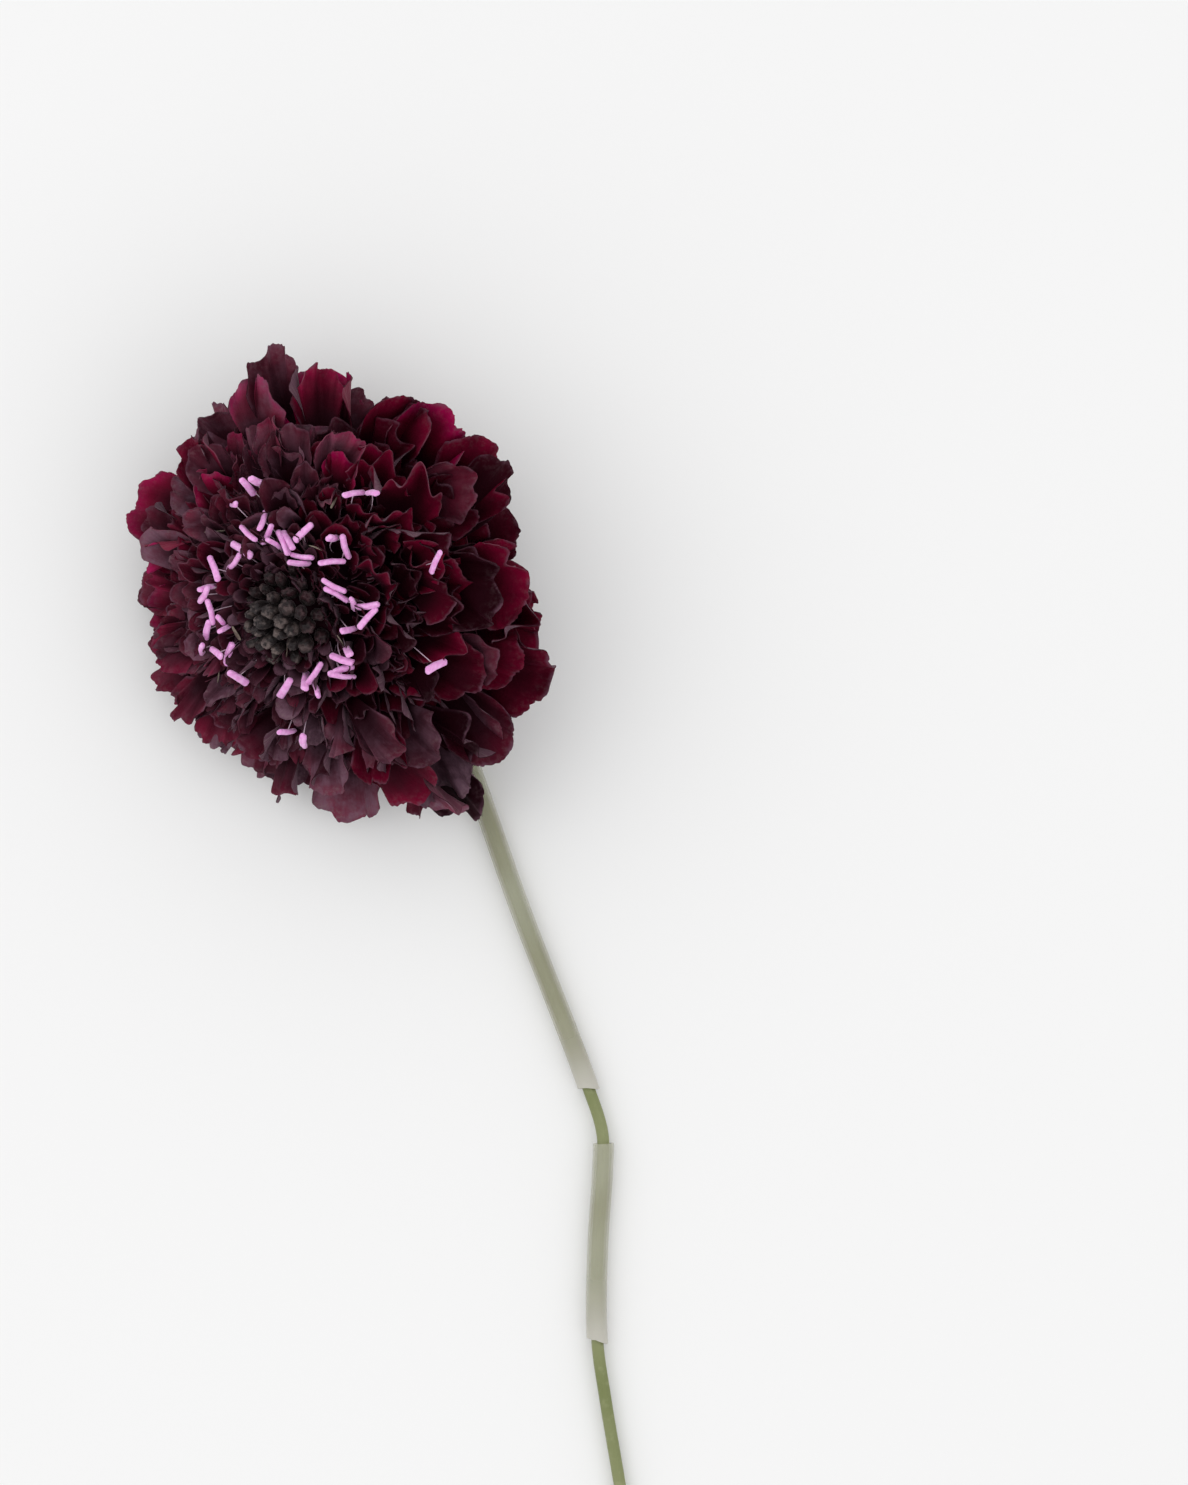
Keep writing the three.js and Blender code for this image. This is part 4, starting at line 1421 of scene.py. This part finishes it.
def straw_finish():
    finish = Finish("straw", Roughness=0.32, Specular_IOR_Level=0.4)
    end = finish.trait("end")
    finish.feed(finish.surface.inputs["Alpha"], 0.36 + end * 0.4)
    olive = finish.mix(finish.pattern(60).between(0.35, 0.65), rgb(0.44, 0.43, 0.31), rgb(0.54, 0.54, 0.42))
    finish.colour(end, olive, rgb(0.62, 0.6, 0.54))
    return finish.material


def cut_aslant(tube, before, last):
    """Cuts a tube's far end off at a slant, and stores how near each point is to that end."""
    ahead = (last - before).normalized()
    choose(tube)
    bpy.ops.object.mode_set(mode="EDIT")
    bpy.ops.mesh.select_all(action="SELECT")
    slant = (ahead + Vector(SLANT)).normalized()
    bpy.ops.mesh.bisect(plane_co=(last - ahead * CUT_BACK) * MM, plane_no=slant, clear_outer=True)
    bpy.ops.object.mode_set(mode="OBJECT")
    away = [(corner.co / MM - last).length / PALE_END for corner in tube.data.vertices]
    store(tube.data, "end", [math.exp(-(share**2)) for share in away])


# %% The straws
STRAW_SHARPNESS = 40
STRAWS = [
    ("upper_straw_tube", "upper_straw", (-25.2, 13.6), (-0.6, -53.9)),
    ("lower_straw_tube", "lower_straw", (1.35, -61.6), (0.45, -92)),
]

milky = straw_finish()
for name, node, start, end in STRAWS:
    line = stretch(start, end)
    straw = tube_through(line, STRAW_RADIUS, name, 7, closed=False)
    cut_aslant(straw, *line[-2:])
    thicken(straw, STRAW_RADIUS - STRAW_BORE, offset=-1)
    dress(straw, milky)
    smooth(straw, STRAW_SHARPNESS)
    hand_over(straw, node)

# %% [markdown]
# ## The involucre
# Under the florets is a green disc with a collar of narrow, pointed leaflets. They droop round the neck
# in two rows, the inner ones shorter. A leaflet is a flat strip that a formula tapers, folds along its
# midrib and curls, in the same way as the petals.

# %% The leaflet's form
LEAFLETS = 9
LEAFLET_LENGTH = 8
LEAFLET_WIDTH = 2.3


def leaflet_points(t, u, v):
    """Points of a leaflet on the head: u runs from root to tip, v from side to side."""
    half = t["width"] / 2 * np.sin(np.pi * (0.2 + 0.8 * u) ** 0.9) ** 0.7
    slope = t["angle"] + t["curl"] * u / 2
    out = np.stack([math.cos(t["turn"]) + 0 * u, math.sin(t["turn"]) + 0 * u, 0 * u], 1)
    aside = np.array([-math.sin(t["turn"]), math.cos(t["turn"]), 0])
    up = np.array([0, 0, 1])
    run = (t["length"] * u)[:, None]
    ahead = out * np.sin(slope)[:, None] + up * np.cos(slope)[:, None]
    lift = up * np.sin(slope)[:, None] - out * np.cos(slope)[:, None]
    seat = out * t["root"] + up * t["rise"] + ahead * run
    return seat + aside * (v * half)[:, None] + lift * (np.abs(v) * half * t["fold"])[:, None]


def leaflet_traits(k, row):
    """The traits of leaflet k of a row. The leaflets of the inner row stand between the outer ones."""
    piece = 8000 + row * 100 + k
    return dict(
        root=2.2,
        rise=-0.75 - 0.45 * row,
        angle=math.radians(112 + 14 * row + vary(piece, "leaf_angle", 6)),
        curl=math.radians(16 + vary(piece, "leaf_curl", 22)),
        length=LEAFLET_LENGTH * (0.78 + 0.22 * row + vary(piece, "leaf_length", 0.12)),
        width=LEAFLET_WIDTH * (1 + vary(piece, "leaf_width", 0.12)),
        fold=0.35 + vary(piece, "leaf_fold", 0.15),
        turn=2 * math.pi * (k + 0.5 * row + vary(piece, "leaf_turn", 0.08)) / LEAFLETS,
    )


STRIP_PATTERN = flat_pattern("strip pattern", 6, 8)

# %% [markdown]
# ## The leaflets and their disc
# The leaflets are matte and downy, with a paler midrib and a tip that dries to brown. The disc that they
# grow on is a turned solid, which closes round the top of the stem.

# %% The involucre
LEAFLET_THICKNESS = 0.3
LEAFLET_SHARPNESS = 40
DISC_PROFILE = [(STEM_RADIUS + 0.3, -3.0), (STEM_RADIUS + 0.5, -2.0), (3.1, -1.2), (3.9, -0.4), (3.6, 0.1)]


def leaflet_finish():
    finish = Finish("leaflet", Roughness=0.75, Sheen_Weight=0.2)
    across, along = finish.uv()
    down = finish.pattern(1200)
    midrib = (1 - ((across - 0.5) * 9).size()).clamped()
    green = finish.mix(down.between(0.3, 0.7), rgb(0.085, 0.105, 0.03), rgb(0.17, 0.19, 0.075))
    green = finish.mix(midrib * 0.5, green, rgb(0.26, 0.29, 0.13))
    finish.colour(along.between(0.75, 1.0) * 0.6, green, rgb(0.09, 0.035, 0.03))
    finish.bump(down + midrib * 0.8, 0.00012)
    return finish.material


leaflets = [
    grow(STRIP_PATTERN, leaflet_points, leaflet_traits(k, row))
    for row in (0, 1)
    for k in range(LEAFLETS)
]
leaflets = joined(leaflets, "leaflets")
thicken(leaflets, LEAFLET_THICKNESS)
disc = turned("involucre_disc", DISC_PROFILE, 32)
green = leaflet_finish()
for piece in (leaflets, disc):
    dress(piece, green)
    smooth(piece, LEAFLET_SHARPNESS)
    hand_over(piece, "involucre")

# %% [markdown]
# ## The table and the light
# A pale table, a large soft light over the head's upper left, a fainter one from the right to lift the
# shaded side, and an even grey-white sky. Soft light keeps the velvet deep and its shadows without edges.

# %% The table
deselect()
bpy.ops.mesh.primitive_plane_add(size=4, location=(0, 0, -0.0002))
table = bpy.context.object
table.name = "table"
table_finish = Finish("table", Roughness=0.9, Specular_IOR_Level=0.1)
table_finish.colour(table_finish.pattern(3), rgb(0.86, 0.86, 0.86), rgb(0.87, 0.87, 0.87))
dress(table, table_finish.material)
print("the table is", round(table.dimensions.x, 1), "m wide")

# %% The light
world = bpy.data.worlds.new("sky")
bpy.context.scene.world = world
world.use_nodes = True
world.node_tree.nodes["Background"].inputs["Color"].default_value = (1, 1, 1, 1)
world.node_tree.nodes["Background"].inputs["Strength"].default_value = 0.9


def soft_light(name, place, size, power, target):
    lamp = bpy.data.lights.new(name, "AREA")
    lamp.shape = "DISK"
    lamp.size = size
    lamp.energy = power
    light = linked(name, lamp)
    light.location = place
    light.rotation_euler = (Vector(target) - Vector(place)).to_track_quat("-Z", "Y").to_euler()
    print(name, "shines with", power, "W")


bloom_middle = Vector(onto_table(np.array([[0, 0, 12]]))[0]) * MM
soft_light("window", (-0.55, 0.35, 0.85), 1.3, 2.4, bloom_middle)
soft_light("fill", (0.7, -0.3, 0.8), 0.9, 1.0, bloom_middle)

# %% [markdown]
# ## The camera
# The camera looks straight down on the flower, from far enough to keep the head's sides out of view.
# Its frame is 178 mm wide at the head's half height, with the head towards its upper left.

# %% The camera
FRAME_HEIGHT = 222.75
CAMERA_ABOVE = 800
SHARP_AT = 20

camera_data = bpy.data.cameras.new("camera")
camera_data.sensor_fit = "VERTICAL"
camera_data.angle = 2 * math.atan(FRAME_HEIGHT / 2 / CAMERA_ABOVE)
camera_data.clip_start = 0.01
camera_data.clip_end = 20
camera = linked("camera", camera_data)
camera.location = (slide + Vector((0, 0, CAMERA_ABOVE + SHARP_AT))) * MM
bpy.context.scene.camera = camera
bpy.context.scene.view_settings.view_transform = "Standard"
print("the camera's angle is", round(math.degrees(camera_data.angle), 1), "degrees")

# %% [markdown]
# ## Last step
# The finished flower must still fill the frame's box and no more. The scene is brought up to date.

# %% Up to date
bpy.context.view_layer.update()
